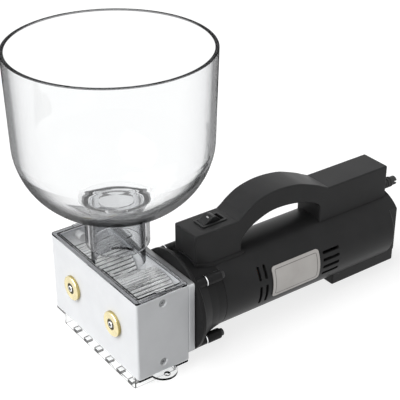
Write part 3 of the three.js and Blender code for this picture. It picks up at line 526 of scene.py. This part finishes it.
def turned(axis, outline, centre=(0, 0), sides=96):
    """A closed outline of (along, radius) points turned about an axis through centre."""
    bm = bmesh.new()
    rings = []
    for along, radius in outline:
        if radius < TINY:
            rings.append([bm.verts.new(at(axis, along, *centre))] * sides)
            continue
        angles = [2 * math.pi * k / sides for k in range(sides)]
        rings.append([bm.verts.new(at(axis, along, centre[0] + radius * math.cos(angle),
                                      centre[1] + radius * math.sin(angle))) for angle in angles])
    for i, ring in enumerate(rings):
        other = rings[(i + 1) % len(rings)]
        for k in range(sides):
            corners = []
            for vert in (ring[k], ring[(k + 1) % sides], other[(k + 1) % sides], other[k]):
                if vert not in corners:
                    corners.append(vert)
            if len(corners) > 2:
                bm.faces.new(corners)
    return from_bmesh(bm)


def rod(axis, low, high, radius, centre=(0, 0), sides=64, edge=0.0):
    outline = fillet([(low, 0), (low, radius, edge), (high, radius, edge), (high, 0)], steps=3)
    return turned(axis, outline, centre, sides)


def wrapped(outline, inner, outer, step):
    """A plate drawn as (x, arc length on the barrel) points, bent round the motor axis."""
    low, high = min(v for _, v in outline), max(v for _, v in outline)
    plate = prism("z", outline, inner, outer)
    bm = bmesh.new()
    bm.from_mesh(plate.data)
    discard(plate)
    count = int((high - low) / step)
    for i in range(1, count):
        level = low + (high - low) * i / count
        bmesh.ops.bisect_plane(bm, geom=bm.verts[:] + bm.edges[:] + bm.faces[:],
                               plane_co=(0, level, 0), plane_no=(0, 1, 0))
    for vert in bm.verts:
        x, arc, radius = vert.co
        angle = arc / BARREL_R
        vert.co = (x, MOTOR_Y - radius * math.cos(angle), AXIS_Z + radius * math.sin(angle))
    return from_bmesh(bm)


def arc_of(degrees):
    return math.radians(degrees) * BARREL_R


def smooth_line(points, steps=6):
    """A curve through open (u, v) points, with the first and last kept."""
    padded = [points[0]] + points + [points[-1]]
    out = []
    for i in range(1, len(padded) - 2):
        p0, p1, p2, p3 = (Vector(p) for p in padded[i - 1:i + 3])
        for k in range(steps):
            t = k / steps
            out.append(tuple(0.5 * ((2 * p1) + (p2 - p0) * t + (2 * p0 - 5 * p1 + 4 * p2 - p3) * t * t
                                    + (3 * p1 - p0 - 3 * p2 + p3) * t ** 3)))
    out.append(tuple(points[-1]))
    return out


def piece(name, thing, material, body, replaces=(), angle=34, choose=None):
    """Turns a working solid into a finished piece; choose picks a face's material by middle and normal."""
    thing.name = name
    mesh = thing.data
    mesh.transform(Matrix.Scale(MM, 4) @ Matrix.Translation((SET_BACK, 0, 0)))
    for face in mesh.polygons:
        face.use_smooth = True
    mesh.set_sharp_from_angle(angle=math.radians(angle))
    even = thing.modifiers.new("even normals", "WEIGHTED_NORMAL")
    even.keep_sharp = True
    mesh = settle(thing).data
    mesh.name = name
    kinds = [face.material_index for face in mesh.polygons]
    mesh.materials.clear()
    materials = material if isinstance(material, list) else [material]
    for m in materials:
        mesh.materials.append(m)
    for face, kind in zip(mesh.polygons, kinds):
        picked = choose(face.center, face.normal) if choose else None
        face.material_index = min(kind, len(materials) - 1) if picked is None else picked
    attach(thing, body)
    if replaces:
        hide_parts(*replaces)
    return thing


def millimetres(point):
    """A finished piece's point in the sizes' own units."""
    return point.x / MM - SET_BACK, point.y / MM, point.z / MM


def off_axis(point, centre):
    """How far a finished piece's point lies from an axis along x."""
    _, y, z = millimetres(point)
    return math.hypot(y - centre[0], z - centre[1])


def dress(node, material, bevel):
    """Gives a carried-over node its finish, and softens its edges."""
    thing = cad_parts[node]
    thing.data.materials.clear()
    thing.data.materials.append(material)
    for face in thing.data.polygons:
        face.material_index = 0
    modifier = thing.modifiers.new("edges", "BEVEL")
    modifier.width = bevel * MM
    modifier.segments = 2
    modifier.limit_method = "ANGLE"
    modifier.angle_limit = math.radians(40)


# Camera, in metres

camera_data = bpy.data.cameras.new("camera")
camera = bpy.data.objects.new("camera", camera_data)
scene.collection.objects.link(camera)
scene.camera = camera
camera_data.sensor_width = 36
camera_data.lens = 99.03
camera.location = (-0.4087, -0.7199, 0.6207)
camera.rotation_mode = "QUATERNION"
camera.rotation_quaternion = Vector((0.5124, 0.7060, -0.4888)).to_track_quat("-Z", "Y")
camera_data.clip_start, camera_data.clip_end = 0.01, 20


# Mill head

def make_housing():
    side_wall, screw_rise = 2.6, 31
    front_round, inner_round, rear_round = 2.2, 0.8, 0.4
    mouth, bore, slope = 4.3, 3.3, 0.9
    half, inner = HEAD_HALF, HEAD_HALF - side_wall
    outline = fillet([
        (0, -half, front_round), (HEAD_DEPTH, -half, rear_round), (HEAD_DEPTH, -inner, rear_round),
        (FRONT_WALL, -inner, inner_round), (FRONT_WALL, inner, inner_round), (HEAD_DEPTH, inner, rear_round),
        (HEAD_DEPTH, half, rear_round), (0, half, front_round)], steps=6)
    shell = rounded_edges(prism("z", outline, HEAD_LOW, HEAD_HIGH), 0.35, segments=2)
    holes = [rod("x", -OVERRUN, FRONT_WALL + OVERRUN, BUSH_HOLE, centre) for centre in ROLLER_AXES]
    for side in SIDES:
        face, sloped, deep = side * (half + 0.5), side * (half - slope), side * (inner - 1)
        sink = [(face, 0), (face, mouth), (sloped, bore), (deep, bore), (deep, 0)]
        holes += [turned("y", sink, (HEAD_DEPTH / 2, AXIS_Z + level * screw_rise), 40) for level in SIDES]
    piece("mill_housing_shell", cut(shell, *holes), ALUMINIUM, "frame", ["mill_housing"])


def make_plate():
    lift, corner, screw_reach = 5.6, 3.4, 5.3
    outline = rectangle(-HEAD_HALF, HEAD_HALF, HEAD_LOW + lift, HEAD_HIGH, corner, steps=8)
    plate = rounded_edges(prism("x", outline, PLATE_FRONT, PLATE_REAR), 1.1, segments=4)
    end = PLATE_REAR + OVERRUN
    holes = [rod("x", PLATE_FRONT - OVERRUN, end, BUSH_HOLE, centre) for centre in ROLLER_AXES]
    holes += [rod("x", PLATE_REAR - screw_reach, end, SCREW_HOLE, centre, sides=24) for _, centre in LUGS]
    # The plate's top faces take the darker aluminium, painted shade
    piece("back_plate_machined", cut(plate, *holes), [ALUMINIUM, PLATE_TOP_SHADE], "frame",
          ["back_plate"], choose=lambda middle, normal: int(normal.z > 0.8))


def make_roller(kind, centre):
    """A drum with shallow flutes, chamfered at its ends, on its journals."""
    flutes, radius, end_gap = 54, 34.15, 1.5
    flute = ((0, 0), (0.42, 0), (0.58, 0.85), (0.68, 1.2), (0.8, 0.85))
    chamfer, edge = 0.8, 0.6
    start, end = FRONT_WALL + end_gap, HEAD_DEPTH - end_gap
    outline = []
    for i in range(flutes):
        for share, depth in flute:
            angle = (i + share) / flutes * 2 * math.pi
            outline.append((centre[0] + (radius - depth) * math.cos(angle),
                            centre[1] + (radius - depth) * math.sin(angle)))
    widest = radius + chamfer - edge
    keep = turned("x", [
        (start, 0), (start, radius - edge), (start + chamfer, widest), (end - chamfer, widest),
        (end, radius - edge), (end, 0)], centre)
    drum = common(prism("x", outline, start, end), keep)
    rear = PLATE_REAR if kind == "drive" else PLATE_REAR - PLAY
    drum = add(drum, rod("x", -1.7, rear, JOURNAL, centre, sides=48, edge=0.4))
    if kind == "drive":
        drum = add(drum, prism("x", hexagon(centre, 5.4), PLATE_REAR - 1, PLATE_REAR + 5))
    screw_bore, screw_depth = 2.1, 5.7
    drum = cut(drum, rod("x", -3, screw_depth, screw_bore, centre, sides=24))

    # Flute roots take the darker steel, painted shade in the grooves
    def in_root_shade(middle, normal):
        deep = off_axis(middle, centre) < radius - 0.95
        return int(deep and start + 0.1 < millimetres(middle)[X] < end - 0.1 and abs(normal.x) < 0.3)

    piece(f"fluted_roller_{kind}", drum, [ROLLER_STEEL, ROLLER_ROOT_SHADE], ROLLER_BODIES[kind],
          [f"roller_{kind}"], 24, in_root_shade)


def make_bush(kind, centre):
    """A front bush with its flange outside the wall and a lip over the journal's end."""
    bore, radius, flange, mouth, shade = JOURNAL + PLAY, BUSH_HOLE - PLAY, 12.0, 4.4, 5.5
    face, lip, chamfer = -3.5, 1.2, 0.6
    outline = fillet([
        (FRONT_WALL, bore), (FRONT_WALL, radius), (-PLAY, radius), (-PLAY, flange, 0.3),
        (face + chamfer, flange, 0.5), (face, flange - chamfer, 0.3), (face, shade), (face, mouth, 0.3),
        (face + lip, mouth, 0.2), (face + lip, bore)], steps=4)

    # The middle of the face takes the painted shade; the flange's rim takes the darker brass of painted dark
    # reflection
    def part(middle, normal):
        return 2 if off_axis(middle, centre) < shade + 0.1 else int(abs(normal.x) < 0.6)

    piece(f"turned_bush_{kind}", turned("x", outline, centre), [BRASS[kind], BRASS_SIDE_SHADE, BRASS_SHADE],
          "frame", [f"front_bush_{kind}"], 30, part)
    dress(f"rear_bush_{kind}", BRASS[kind], 0.3)


def make_end_screw(kind, centre):
    shank_end, shank, head_back, head_face, head = 5.0, 1.8, -1.9, -4.3, 3.1
    socket, socket_floor = 1.9, -2.8
    outline = fillet([
        (shank_end, 0), (shank_end, shank), (head_back, shank), (head_back, head, 0.3),
        (head_face + 0.4, head, 0.5), (head_face, head - 0.5, 0.2), (head_face, 0)], steps=4)
    screw = turned("x", outline, centre, 48)
    screw = cut(screw, prism("x", hexagon(centre, socket), head_face - OVERRUN, socket_floor))

    def in_socket(middle, normal):
        return int(off_axis(middle, centre) < socket + 0.05 and millimetres(middle)[X] < socket_floor + 0.3)

    piece(f"end_screw_{kind}", screw, [CHROME, SOCKET], ROLLER_BODIES[kind],
          [f"shaft_screw_{kind}"], 30, in_socket)


def make_tray():
    low, high, half, wall, corner = 10.3, 12.5, HEAD_HALF, 2, 1.6
    near, far, rear = 6.5 - half, half - 14.5, HEAD_DEPTH - 8.7
    ear, ear_hole, hole_offset = 12.5, 2.8, 5
    lugs, first_lug, lug_pitch, lug_half, lug_end, lug_height = 6, near + 9.5, 19.1, 3.25, 8.0, 3.0
    body = prism("z", rectangle(0, HEAD_DEPTH, -half, half, corner, 2), low, high)
    for side in SIDES:
        body = add(body, rod("z", low, high, ear, (HEAD_DEPTH / 2, side * (half - 1)), sides=44))
    body = add(body, prism("z", rectangle(0, rear, near, far, corner, 2), 0, high))
    well = rectangle(wall, rear - wall, near + wall, far - wall, corner, 2)
    holes = [rod("z", low - OVERRUN, high + OVERRUN, ear_hole, (HEAD_DEPTH / 2, side * (half + hole_offset)),
                 sides=14) for side in SIDES]
    body = cut(body, prism("z", well, -OVERRUN, high + OVERRUN), *holes)
    for i in range(lugs):
        y = first_lug + i * lug_pitch
        body = add(body, block((wall / 2, y - lug_half, 0), (lug_end, y + lug_half, lug_height)))
    # The rounded edges get slot 1, the painted dark edge shade
    body = rounded_edges(body, 0.65, segments=2, material=1)

    # The flange's end faces and the lugs' sides also take the painted dark edge shade
    def kind(middle, normal):
        x, y, z = millimetres(middle)
        on_flange = z > low - PLAY
        if on_flange and x < 1.2 and abs(y) < 64:
            return 0
        on_lug = z < lug_height and wall < x < lug_end + 1
        upright = abs(normal.z) < 0.5
        return 1 if upright and (on_flange and abs(y) > half - 1 or on_lug) else None

    piece("clear_outlet_tray", body, [TRAY_CLEAR, TRAY_EDGE_SHADE], "frame", ["outlet_tray"],
          choose=kind)


# Cover and hopper

def make_cover():
    half, z, neck_place = HEAD_HALF, COVER_Z, (NECK_X, 0)
    rim, side_frame, rear_frame = 2.2, 6, 3
    front, rear, pan_half, drop, rise, panel_top = 4.5, 53.2, 69.4, 2.6, 1.1, 0.8
    tab_from, tab_to, tab_end = 25, 45, HEAD_DEPTH + 9.5
    catch_inset, catch_half, catch_thick, catch_top = 3, 5, 1.2, 3.8
    lid = prism("z", rectangle(0, HEAD_DEPTH, -half, half, 2.0, 6), z, z + rim)
    lid = rounded_edges(lid, 0.4, segments=2)
    lid = add(lid, prism("z", rectangle(front, rear, -pan_half, pan_half, 1.0), z - drop, z + rise))
    lid = add(lid, block((HEAD_DEPTH - rear_frame, tab_from, z + 0.6), (tab_end, tab_to, z + rim), 0.8))
    window = rectangle(side_frame, HEAD_DEPTH - rear_frame, side_frame - half, half - side_frame, 1.2)
    lid = cut(lid, prism("z", window, z - panel_top, z + 4))
    lid = cut(lid, rod("z", z - 4, z + 4, NECK_BORE + 1.2, neck_place, sides=96))
    foot = rod("z", z - drop, z + rise, NECK_R, neck_place, sides=112)
    lid = add(lid, common(foot, block((front, -pan_half, z - 3), (rear, pan_half, z + 2))))
    neck_top = SEAT_Z - PLAY
    neck = fillet([(z, 0), (z, NECK_R), (neck_top, NECK_R, 0.8), (neck_top, 0)], steps=4)
    lid = add(lid, turned("z", neck, neck_place, 112))
    lid = cut(lid, rod("z", z - 4, neck_top + 1, NECK_BORE, neck_place, sides=112))
    for side in SIDES:
        y = side * (half - catch_inset)
        lid = add(lid, block((HEAD_DEPTH / 2 - catch_half, y - catch_thick, z + rise),
                             (HEAD_DEPTH / 2 + catch_half, y + catch_thick, z + catch_top)))

    # Picks the painted shade: darker smoke on the frame's top and outer sides, the inner steps, the neck and
    # the tab's sides
    def kind(middle, normal):
        x, y, up = millimetres(middle)
        up -= z
        if tab_from - 0.5 < y < tab_to + 0.5 and x > HEAD_DEPTH - 0.5 and up > 0.2:
            return TAB_EDGE_SHADE if abs(normal.z) < 0.5 else PANEL
        if rim - 0.5 < up < rim + 0.2 and normal.z > 0.5:
            return COVER_EDGE_SHADE
        if abs(normal.z) > 0.5:
            return PANEL
        if math.hypot(x - NECK_X, y) < NECK_R + 0.5:
            return NECK_SHADE
        inward = normal.x * (x - HEAD_DEPTH / 2) + normal.y * y < 0
        return COVER_STEP_SHADE if inward or up < -0.5 else COVER_EDGE_SHADE

    piece("smoked_top_cover", lid, COVER_KINDS, "cover", ["top_cover"], 30, kind)


# The bowl's lower wall, from its floor to its shoulder, as shares of its reach and of its height
BOWL = [(0, 0), (0.25, 0.06), (0.45, 0.15), (0.63, 0.28), (0.77, 0.42), (0.88, 0.58), (0.95, 0.74),
        (0.985, 0.86), (1, 1)]


def make_hopper():
    """One turned solid, drawn up from its seat on the cover's neck."""
    wall, bore, hole, round_in, floor_rise = 3.6, NECK_R + 0.8, 15.5, 2.5, 1.4
    skirt = bore + wall
    shoulder_rise, shoulder, upper_rise, upper = 66, 86.6, 95, 87.4
    top, rim, skirt_end = 149.2, 88.9, -36.3

    def bowl(floor_radius, inset):
        reach, rise = shoulder - inset - floor_radius, shoulder_rise - floor_rise - inset
        line = [(floor_rise + inset + rise * up, floor_radius + reach * along) for along, up in BOWL]
        return smooth_line(line + [(upper_rise, upper - inset)], 5)

    quarter = [(floor_rise - round_in + round_in * math.sin(k * math.pi / 12),
                skirt + round_in - round_in * math.cos(k * math.pi / 12)) for k in range(5, -1, -1)]
    outline = [(top, rim, 1.0)] + list(reversed(bowl(skirt + round_in, 0))) + quarter
    outline += [(skirt_end, skirt, 2.4), (skirt_end, bore, 0.5), (0, bore, 0.3), (0, hole, 0.6),
                (wall, hole, 0.6), (wall, bore, 0.3)]
    outline += bowl(bore + 0.7, wall)
    outline += [(top, rim - wall + 0.2, 1.2)]
    points = [(SEAT_Z + rise, *rest) for rise, *rest in outline]

    def kind(middle, normal):
        x, y, z = millimetres(middle)
        up, out = z - SEAT_Z, Vector((x - NECK_X, y, 0))
        away = out.length
        under_bowl = up < floor_rise + 0.05 and skirt + 0.2 < away < skirt + 2.6
        over_floor = wall + 0.1 < up < wall + 1.7 and away < bore + 1
        # The rim's top takes the painted shade
        if up > top - 1.6:
            return RIM_SHADE
        # The steps round the throat take the painted shade of dark rings
        if under_bowl or over_floor:
            return STEP_SHADE
        # The skirt and the throat take the greyer painted shade
        if up < -1 and away > skirt - 0.5:
            return SKIRT_SHADE
        if up < wall + 0.1 and away < skirt or up < 7 and away < 36 and normal.z > 0.2:
            return THROAT_SHADE
        if normal.dot(out) < 0 or away < bore or normal.z > 0.2 and up < 90:
            return INSIDE
        # Below 52 mm the outside takes the lower wall's stronger painted edge shade
        return LOW_WALL_SHADE if up < 52 else OUTSIDE

    piece("clear_hopper", turned("z", fillet(points), (NECK_X, 0), 200), HOPPER_KINDS, "hopper",
          ["hopper"], 40, kind)


# Gearbox and motor

FLANGE_R, FLANGE_LENGTH, GEAR_NECK_R, NECK_START = 49.5, 3.5, 41.3, 16
WAIST_X, WAIST_R = GEAR_FRONT + 25.75, 38.66


def body_outline(grow):
    """The gearbox's outside up to the barrel, as (x, radius) points, grown by a gap or a wall."""
    return [(GEAR_FRONT - grow, FLANGE_R + grow), (GEAR_FRONT + FLANGE_LENGTH, FLANGE_R + grow),
            (GEAR_FRONT + 9.6, 45.4 + grow), (GEAR_FRONT + NECK_START, GEAR_NECK_R + grow),
            (WAIST_X, WAIST_R + grow), (GEAR_REAR, BARREL_R + grow)]


def body_solid(grow):
    """The space that the gearbox and barrel take up, grown by a gap or a wall."""
    outline = body_outline(grow) + [(CAP_REAR, BARREL_R + grow), (CAP_REAR, 0), (GEAR_FRONT - grow, 0)]
    return turned("x", outline, MOTOR, 128)


def make_gearbox():
    front, inner, bore, front_wall = GEAR_FRONT, 30, 11.5, 4.5
    lug, lug_length, boss, boss_start, boss_end, slot = 4.7, 13.5, 5.0, 15.2, 31.2, 5.6
    shell = turned("x", fillet([
        (front, bore), (front, FLANGE_R, 0.8), (front + FLANGE_LENGTH, FLANGE_R, 1.0),
        (front + 5.4, 46.4, 2.0), (front + NECK_START, GEAR_NECK_R, 4), (WAIST_X, WAIST_R, 6),
        (GEAR_REAR, BARREL_R, 0.3), (GEAR_REAR, inner), (front + front_wall, inner),
        (front + front_wall, bore)]), MOTOR, 128)
    slots, holes = [], []
    for _, centre in LUGS:
        shell = add(shell, rod("x", front, front + lug_length, lug, centre, sides=40, edge=0.5))
        shell = add(shell, rod("x", front + boss_start, front + boss_end, boss, centre, sides=40, edge=1.2))
        slots.append(rod("x", front + lug_length, front + boss_start, slot, centre, sides=40))
        holes.append(rod("x", front - 1, front + boss_end + OVERRUN, SCREW_HOLE, centre, sides=24))
    shell = cut(shell, *slots)
    shell = cut(shell, *holes)
    shell = cut(shell, rod("x", front + front_wall, GEAR_REAR + 1, inner, MOTOR, sides=96))
    piece("gearbox_casting", shell, GEAR_BLACK, "frame", ["gearbox_housing"], 30)


def make_flange_screws():
    """Screws from the gearbox's bosses into the back plate, each with a washer in its lug's slot."""
    tip, shank, washer, head = 56.2, 2.0, 5.3, 3.6
    washer_front, washer_back = GEAR_FRONT + 13.85, GEAR_FRONT + 14.85
    head_front, head_back = GEAR_FRONT + 31.5, GEAR_FRONT + 34.5
    outline = fillet([
        (tip, 0), (tip, 1.6), (tip + 0.6, shank), (washer_front, shank), (washer_front, washer, 0.2),
        (washer_back, washer, 0.2), (washer_back, shank), (head_front, shank), (head_front, head, 0.2),
        (head_back - 0.4, head, 0.6), (head_back, 2.4), (head_back, 0)], steps=3)
    for name, centre in LUGS:
        piece(f"plated_flange_screw_{name}", turned("x", outline, centre, 40), [CHROME, DARK_STEEL], "frame",
              [f"flange_screw_{name}"], 30,
              lambda middle, normal: int(millimetres(middle)[X] > head_front - 0.5))


def make_motor():
    foot_length, foot_half, foot_drop, foot_top = 82.3, 27.7, 36.6, 5.3
    barrel = turned("x", fillet([
        (BARREL_FRONT, 0), (BARREL_FRONT, BARREL_R, 0.3), (BARREL_REAR, BARREL_R, 1.5), (BARREL_REAR, 0)],
        steps=6), MOTOR, 160)
    foot = prism("x", fillet([
        (MOTOR_Y - foot_half, AXIS_Z - foot_drop, 1.6), (MOTOR_Y + foot_half, AXIS_Z - foot_drop, 1.6),
        (MOTOR_Y + foot_half, AXIS_Z - foot_top), (MOTOR_Y - foot_half, AXIS_Z - foot_top)]),
        CAP_REAR - foot_length, CAP_REAR)
    foot = rounded_edges(foot, 1.6, segments=4)
    cap_front, cap_low, cap_high = BARREL_REAR - 14, AXIS_Z - 27, 100
    cap = rod("x", cap_front, CAP_REAR, BARREL_R - 0.05, MOTOR, sides=150, edge=1.2)
    cap = common(cap, block((cap_front, MOTOR_Y - foot_half, cap_low),
                            (CAP_REAR + 1, MOTOR_Y + foot_half, cap_high)))
    body = add(barrel, foot, cap)
    inner, bearing, rear_wall, seat = 33.4, 11.3, 15, 7.4
    body = cut(body, turned("x", [
        (BARREL_FRONT - 1, 0), (BARREL_FRONT - 1, inner), (BARREL_REAR - rear_wall, inner),
        (BARREL_REAR - rear_wall, bearing), (BARREL_REAR - seat, bearing), (BARREL_REAR - seat, 0)], MOTOR))
    piece("motor_shell", cut(body, *vent_cutters()), BLACK, "frame", ["motor_housing"], 30)


def vent_cutters():
    """Two columns of slots round the barrel and a row of four along it, on both sides."""
    inner, outer = 32, 38.5
    columns, column_start, column_pitch, column_width = 2, 38, 7, 3
    row_start, row_end, row_half, rows, top_angle, row_pitch = 115, 136, 1.7, 4, 19, 12
    cutters = []
    for column in range(columns):
        x = BARREL_FRONT + column_start + column * column_pitch
        for low, high in ((15, 37), (-25, 6)):
            for a, b in ((low, high), (180 - high, 180 - low)):
                outline = rectangle(x, x + column_width, arc_of(a), arc_of(b), 1.2, 4)
                cutters.append(wrapped(outline, inner, outer, 1.5))
    for row in range(rows):
        angle = top_angle - row * row_pitch
        for middle in (arc_of(angle), arc_of(180 - angle)):
            outline = rectangle(BARREL_FRONT + row_start, BARREL_FRONT + row_end, middle - row_half,
                                middle + row_half, 1.4, 4)
            cutters.append(wrapped(outline, inner, outer, 1.5))
    return cutters


def make_badge():
    """A bare plate on the barrel, with a thin plain line inside its edge."""
    start, end, low, high = BARREL_FRONT + 53, BARREL_FRONT + 110, arc_of(-20), arc_of(29.5)
    back, face, line_top, step = 37.2, 38.0, 38.06, 1.2
    inset, line = 3, 0.6

    def sheet(inset, corner, bottom, top):
        outline = rectangle(start + inset, end - inset, low + inset, high - inset, corner, 6)
        return wrapped(outline, bottom, top, step)

    piece("brushed_badge_plate", sheet(0, 3.5, back, face), BADGE, "frame",
          ["badge_plate"], 30)
    border = cut(sheet(inset, 2.0, face - 0.1, line_top), sheet(inset + line, 1.4, face - 1, face + 1))
    piece("badge_border_line", border, BADGE_LINE, "frame", [], 30)


# Handle and switch

# The arch over the grip and the gap under it, as shares of their lengths and heights
ARCH = [(0, 0), (0.05, 0.2), (0.1, 0.43), (0.2, 0.76), (0.32, 0.94), (0.44, 1), (0.56, 0.95), (0.67, 0.83),
        (0.77, 0.62), (0.87, 0.38), (0.94, 0.17), (1, 0)]
GAP = [(0, 0), (0.03, 0.2), (0.09, 0.47), (0.18, 0.71), (0.34, 0.96), (0.5, 1), (0.68, 0.9), (0.84, 0.68),
       (0.96, 0.42), (1, 0.2)]
POCKET_DEPTH = 13


def make_handle():
    half, base, corner = 16.4, AXIS_Z, 1.6
    arch_start, arch_length, arch_rise = GEAR_FRONT + 62, 109.5, 18.1
    gap_start, gap_length, gap_low, gap_rise = GEAR_FRONT + 67, 94, AXIS_Z + 46, 20.3
    lip, lip_wall, lip_length, lip_rise = 1.6, 2.7, 54, 49.5
    pocket_half, pocket_side, cord_bore, cord_depth = 12.8, 7.0, 3.8, 6.3
    arch = smooth_line([(arch_start + u * arch_length, HANDLE_TOP + v * arch_rise) for u, v in ARCH])
    gap = smooth_line([(gap_start + u * gap_length, gap_low + v * gap_rise) for u, v in GAP])
    outline = [(HANDLE_START, base), (gap[0][0], base), *gap, (gap[-1][0], base), (HANDLE_END, base),
               (HANDLE_END, HANDLE_TOP, corner), *reversed(arch), (HANDLE_START, HANDLE_TOP, corner)]
    slab = prism("y", fillet(outline, steps=4), MOTOR_Y - half, MOTOR_Y + half)
    slab = rounded_edges(slab, 2.0, segments=4, angle=40)
    skirt = block((HANDLE_START - lip, MOTOR_Y - half - lip, AXIS_Z),
                  (HANDLE_START + lip_length, MOTOR_Y + half + lip, AXIS_Z + lip_rise), 1.2)
    slab = add(slab, common(skirt, body_solid(lip_wall)))
    slab = cut(slab, body_solid(PLAY))
    slab = cut(slab, block((SWITCH_X - pocket_half, MOTOR_Y - pocket_side, HANDLE_TOP - POCKET_DEPTH),
                           (SWITCH_X + pocket_half, MOTOR_Y + pocket_side, HANDLE_TOP + 1)))
    slab = cut(slab, rod("x", HANDLE_END - cord_depth, HANDLE_END + 1, cord_bore, CORD, sides=40))
    piece("grip_handle", slab, BLACK, "frame", ["handle"], 30)


def make_switch_frame():
    seat, thickness = HANDLE_TOP + PLAY, 1.1
    rim_half, rim_side, wall_half, wall_side, hole_half, hole_side = 13.7, 7.9, 12.5, 6.7, 11.5, 5.7
    drop = POCKET_DEPTH - PLAY

    def box(half, side, low, high, corner=0.0):
        return block((SWITCH_X - half, MOTOR_Y - side, low), (SWITCH_X + half, MOTOR_Y + side, high), corner)

    frame_solid = rounded_edges(box(rim_half, rim_side, seat, seat + thickness, 1.4), 0.5)
    frame_solid = add(frame_solid, box(wall_half, wall_side, HANDLE_TOP - drop, seat + 0.5))
    frame_solid = cut(frame_solid, box(hole_half, hole_side, HANDLE_TOP - drop + 1, seat + 3, 0.6))
    piece("switch_frame", frame_solid, SWITCH, "frame", ["switch_bezel"], 30)


def make_rocker():
    """The rocker's key, pressed in at its front, and the light mark on its raised half."""
    half, side, end_rise, peak, peak_half, belly, pivot_drop, tilt = 10.9, 5.2, 2, 8.2, 1.2, 6, 2, 6
    outline = fillet([
        (-half, -end_rise, 0.3), (-half * 0.3, -belly, 0.6), (half * 0.3, -belly, 0.6),
        (half, -end_rise, 0.3), (half, end_rise, 0.5), (peak_half, peak, 0.7), (-peak_half, peak, 0.7),
        (-half, end_rise, 0.5)], steps=4)
    key = rounded_edges(prism("y", outline, -side, side), 0.35, angle=40)
    turn = (Matrix.Translation((SWITCH_X, MOTOR_Y, HANDLE_TOP - pivot_drop))
            @ Matrix.Rotation(math.radians(tilt), 4, "Y"))
    key.data.transform(turn)
    piece("rocker_key", key, SWITCH, "rocker", ["switch_rocker"], 30)
    mark = rounded_edges(block((-3.9, -1.5, -0.15), (-2.5, 1.5, 0.12), 0.3), 0.08, segments=1, angle=40)
    slope = math.atan2(peak - end_rise, half - peak_half)
    mark.data.transform(turn @ Matrix.Translation((-peak_half, 0, peak)) @ Matrix.Rotation(-slope, 4, "Y"))
    piece("rocker_mark", mark, MARK, "rocker", [], 30)


def make_cord_guard():
    """A strain relief with three ribs and a slit end, in a bore of the handle's rear face."""
    face, length, bore, shank, shank_length = HANDLE_END + PLAY, 20, 2.3, 3.5, 6
    flange, flange_length, radius, rib, ribs = 6.0, 1.8, 4.5, 5.3, 3
    slit_depth, slit_half = 3.5, 1.3
    end, body_start = face + length, face + flange_length
    pitch = (length - flange_length - slit_depth) / (ribs + 1)
    outline = [(face - shank_length, bore), (face - shank_length, shank), (face, shank), (face, flange, 0.4),
               (body_start, flange, 0.4), (body_start, radius)]
    for i in range(ribs):
        low, high = (body_start + (i + 1 + share) * pitch for share in (-0.25, 0.25))
        outline += [(low, radius), (low, rib, 0.3), (high, rib, 0.3), (high, radius)]
    outline += [(end, radius, 0.5), (end, bore)]
    guard = turned("x", fillet(outline, steps=3), CORD, 48)
    guard = cut(guard, block((end - slit_depth, CORD[0] - 7, CORD[1] - slit_half),
                             (end + 1, CORD[0] + 7, CORD[1] + slit_half)))
    piece("cord_relief", guard, RUBBER, "frame", ["cord_guard"], 30)


# Everything in place

make_housing()
make_plate()
for kind, centre in zip(ROLLER_BODIES, ROLLER_AXES):
    make_roller(kind, centre)
    make_bush(kind, centre)
    make_end_screw(kind, centre)
make_tray()
make_cover()
make_hopper()
make_gearbox()
make_flange_screws()
make_motor()
make_badge()
make_handle()
make_switch_frame()
make_rocker()
make_cord_guard()

for place in ("near_top", "near_bottom", "far_top", "far_bottom"):
    dress(f"guide_block_{place}", GUIDE_PLASTIC, 0.5)
    dress(f"side_screw_{place}", SIDE_STEEL, 0.2)
for node in ("gear_ring", "gear_sun", "planet_carrier", "bearing_front", "bearing_rear", "motor_shaft",
             "stator"):
    dress(node, STEEL, 0.15)
for node in ("gear_planet_1", "gear_planet_2", "gear_planet_3", "fan"):
    dress(node, NYLON, 0.15)
for node in ("armature_core", "commutator"):
    dress(node, COPPER, 0.3)
for node in ("brush_near", "brush_far"):
    dress(node, CARBON, 0.3)
dress("gearbox_cover", ALUMINIUM, 0.3)


# Stage and light, in metres

def background(nodes, colour, strength):
    node = nodes.new("ShaderNodeBackground")
    node.inputs["Color"].default_value = (*colour, 1)
    node.inputs["Strength"].default_value = strength
    return node.outputs[0]


def make_stage():
    """A floor, and a world that is white to look at but lights the part dimly."""
    floor_mesh = bmesh.new()
    bmesh.ops.create_grid(floor_mesh, x_segments=8, y_segments=8, size=6)
    floor = from_bmesh(floor_mesh, "floor")
    floor.location.z = -0.0002
    floor.data.materials.append(stage_material("floor", shade=0.35, shown=0.30, glow=0.79))
    world = bpy.data.worlds.new("studio")
    scene.world = world
    world.use_nodes = True
    nodes, links = world.node_tree.nodes, world.node_tree.links
    nodes.clear()
    output = nodes.new("ShaderNodeOutputWorld")
    dim, white = background(nodes, (0.97, 0.985, 1), 0.17), background(nodes, (1, 1, 1), 1)
    links.new(mixed(nodes, links, seen(nodes, links), dim, white), output.inputs["Surface"])


def sun(name, direction, strength, angle):
    """A soft lamp that glass doesn't show as a bright disc."""
    data = bpy.data.lights.new(name, "SUN")
    data.energy = strength
    data.angle = math.radians(angle)
    thing = bpy.data.objects.new(name, data)
    scene.collection.objects.link(thing)
    thing.rotation_mode = "QUATERNION"
    thing.rotation_quaternion = Vector(direction).to_track_quat("-Z", "Y")
    thing.visible_transmission = False


make_stage()
sun("key", (0.70, -0.02, -0.72), 3.95, 66)
sun("fill", (-0.3, 0.9, -0.45), 0.1, 40)

scene.view_settings.view_transform = "Standard"
scene.cycles.transparent_max_bounces = 32
scene.cycles.transmission_bounces = 100
scene.cycles.glossy_bounces = 100
scene.cycles.max_bounces = 100
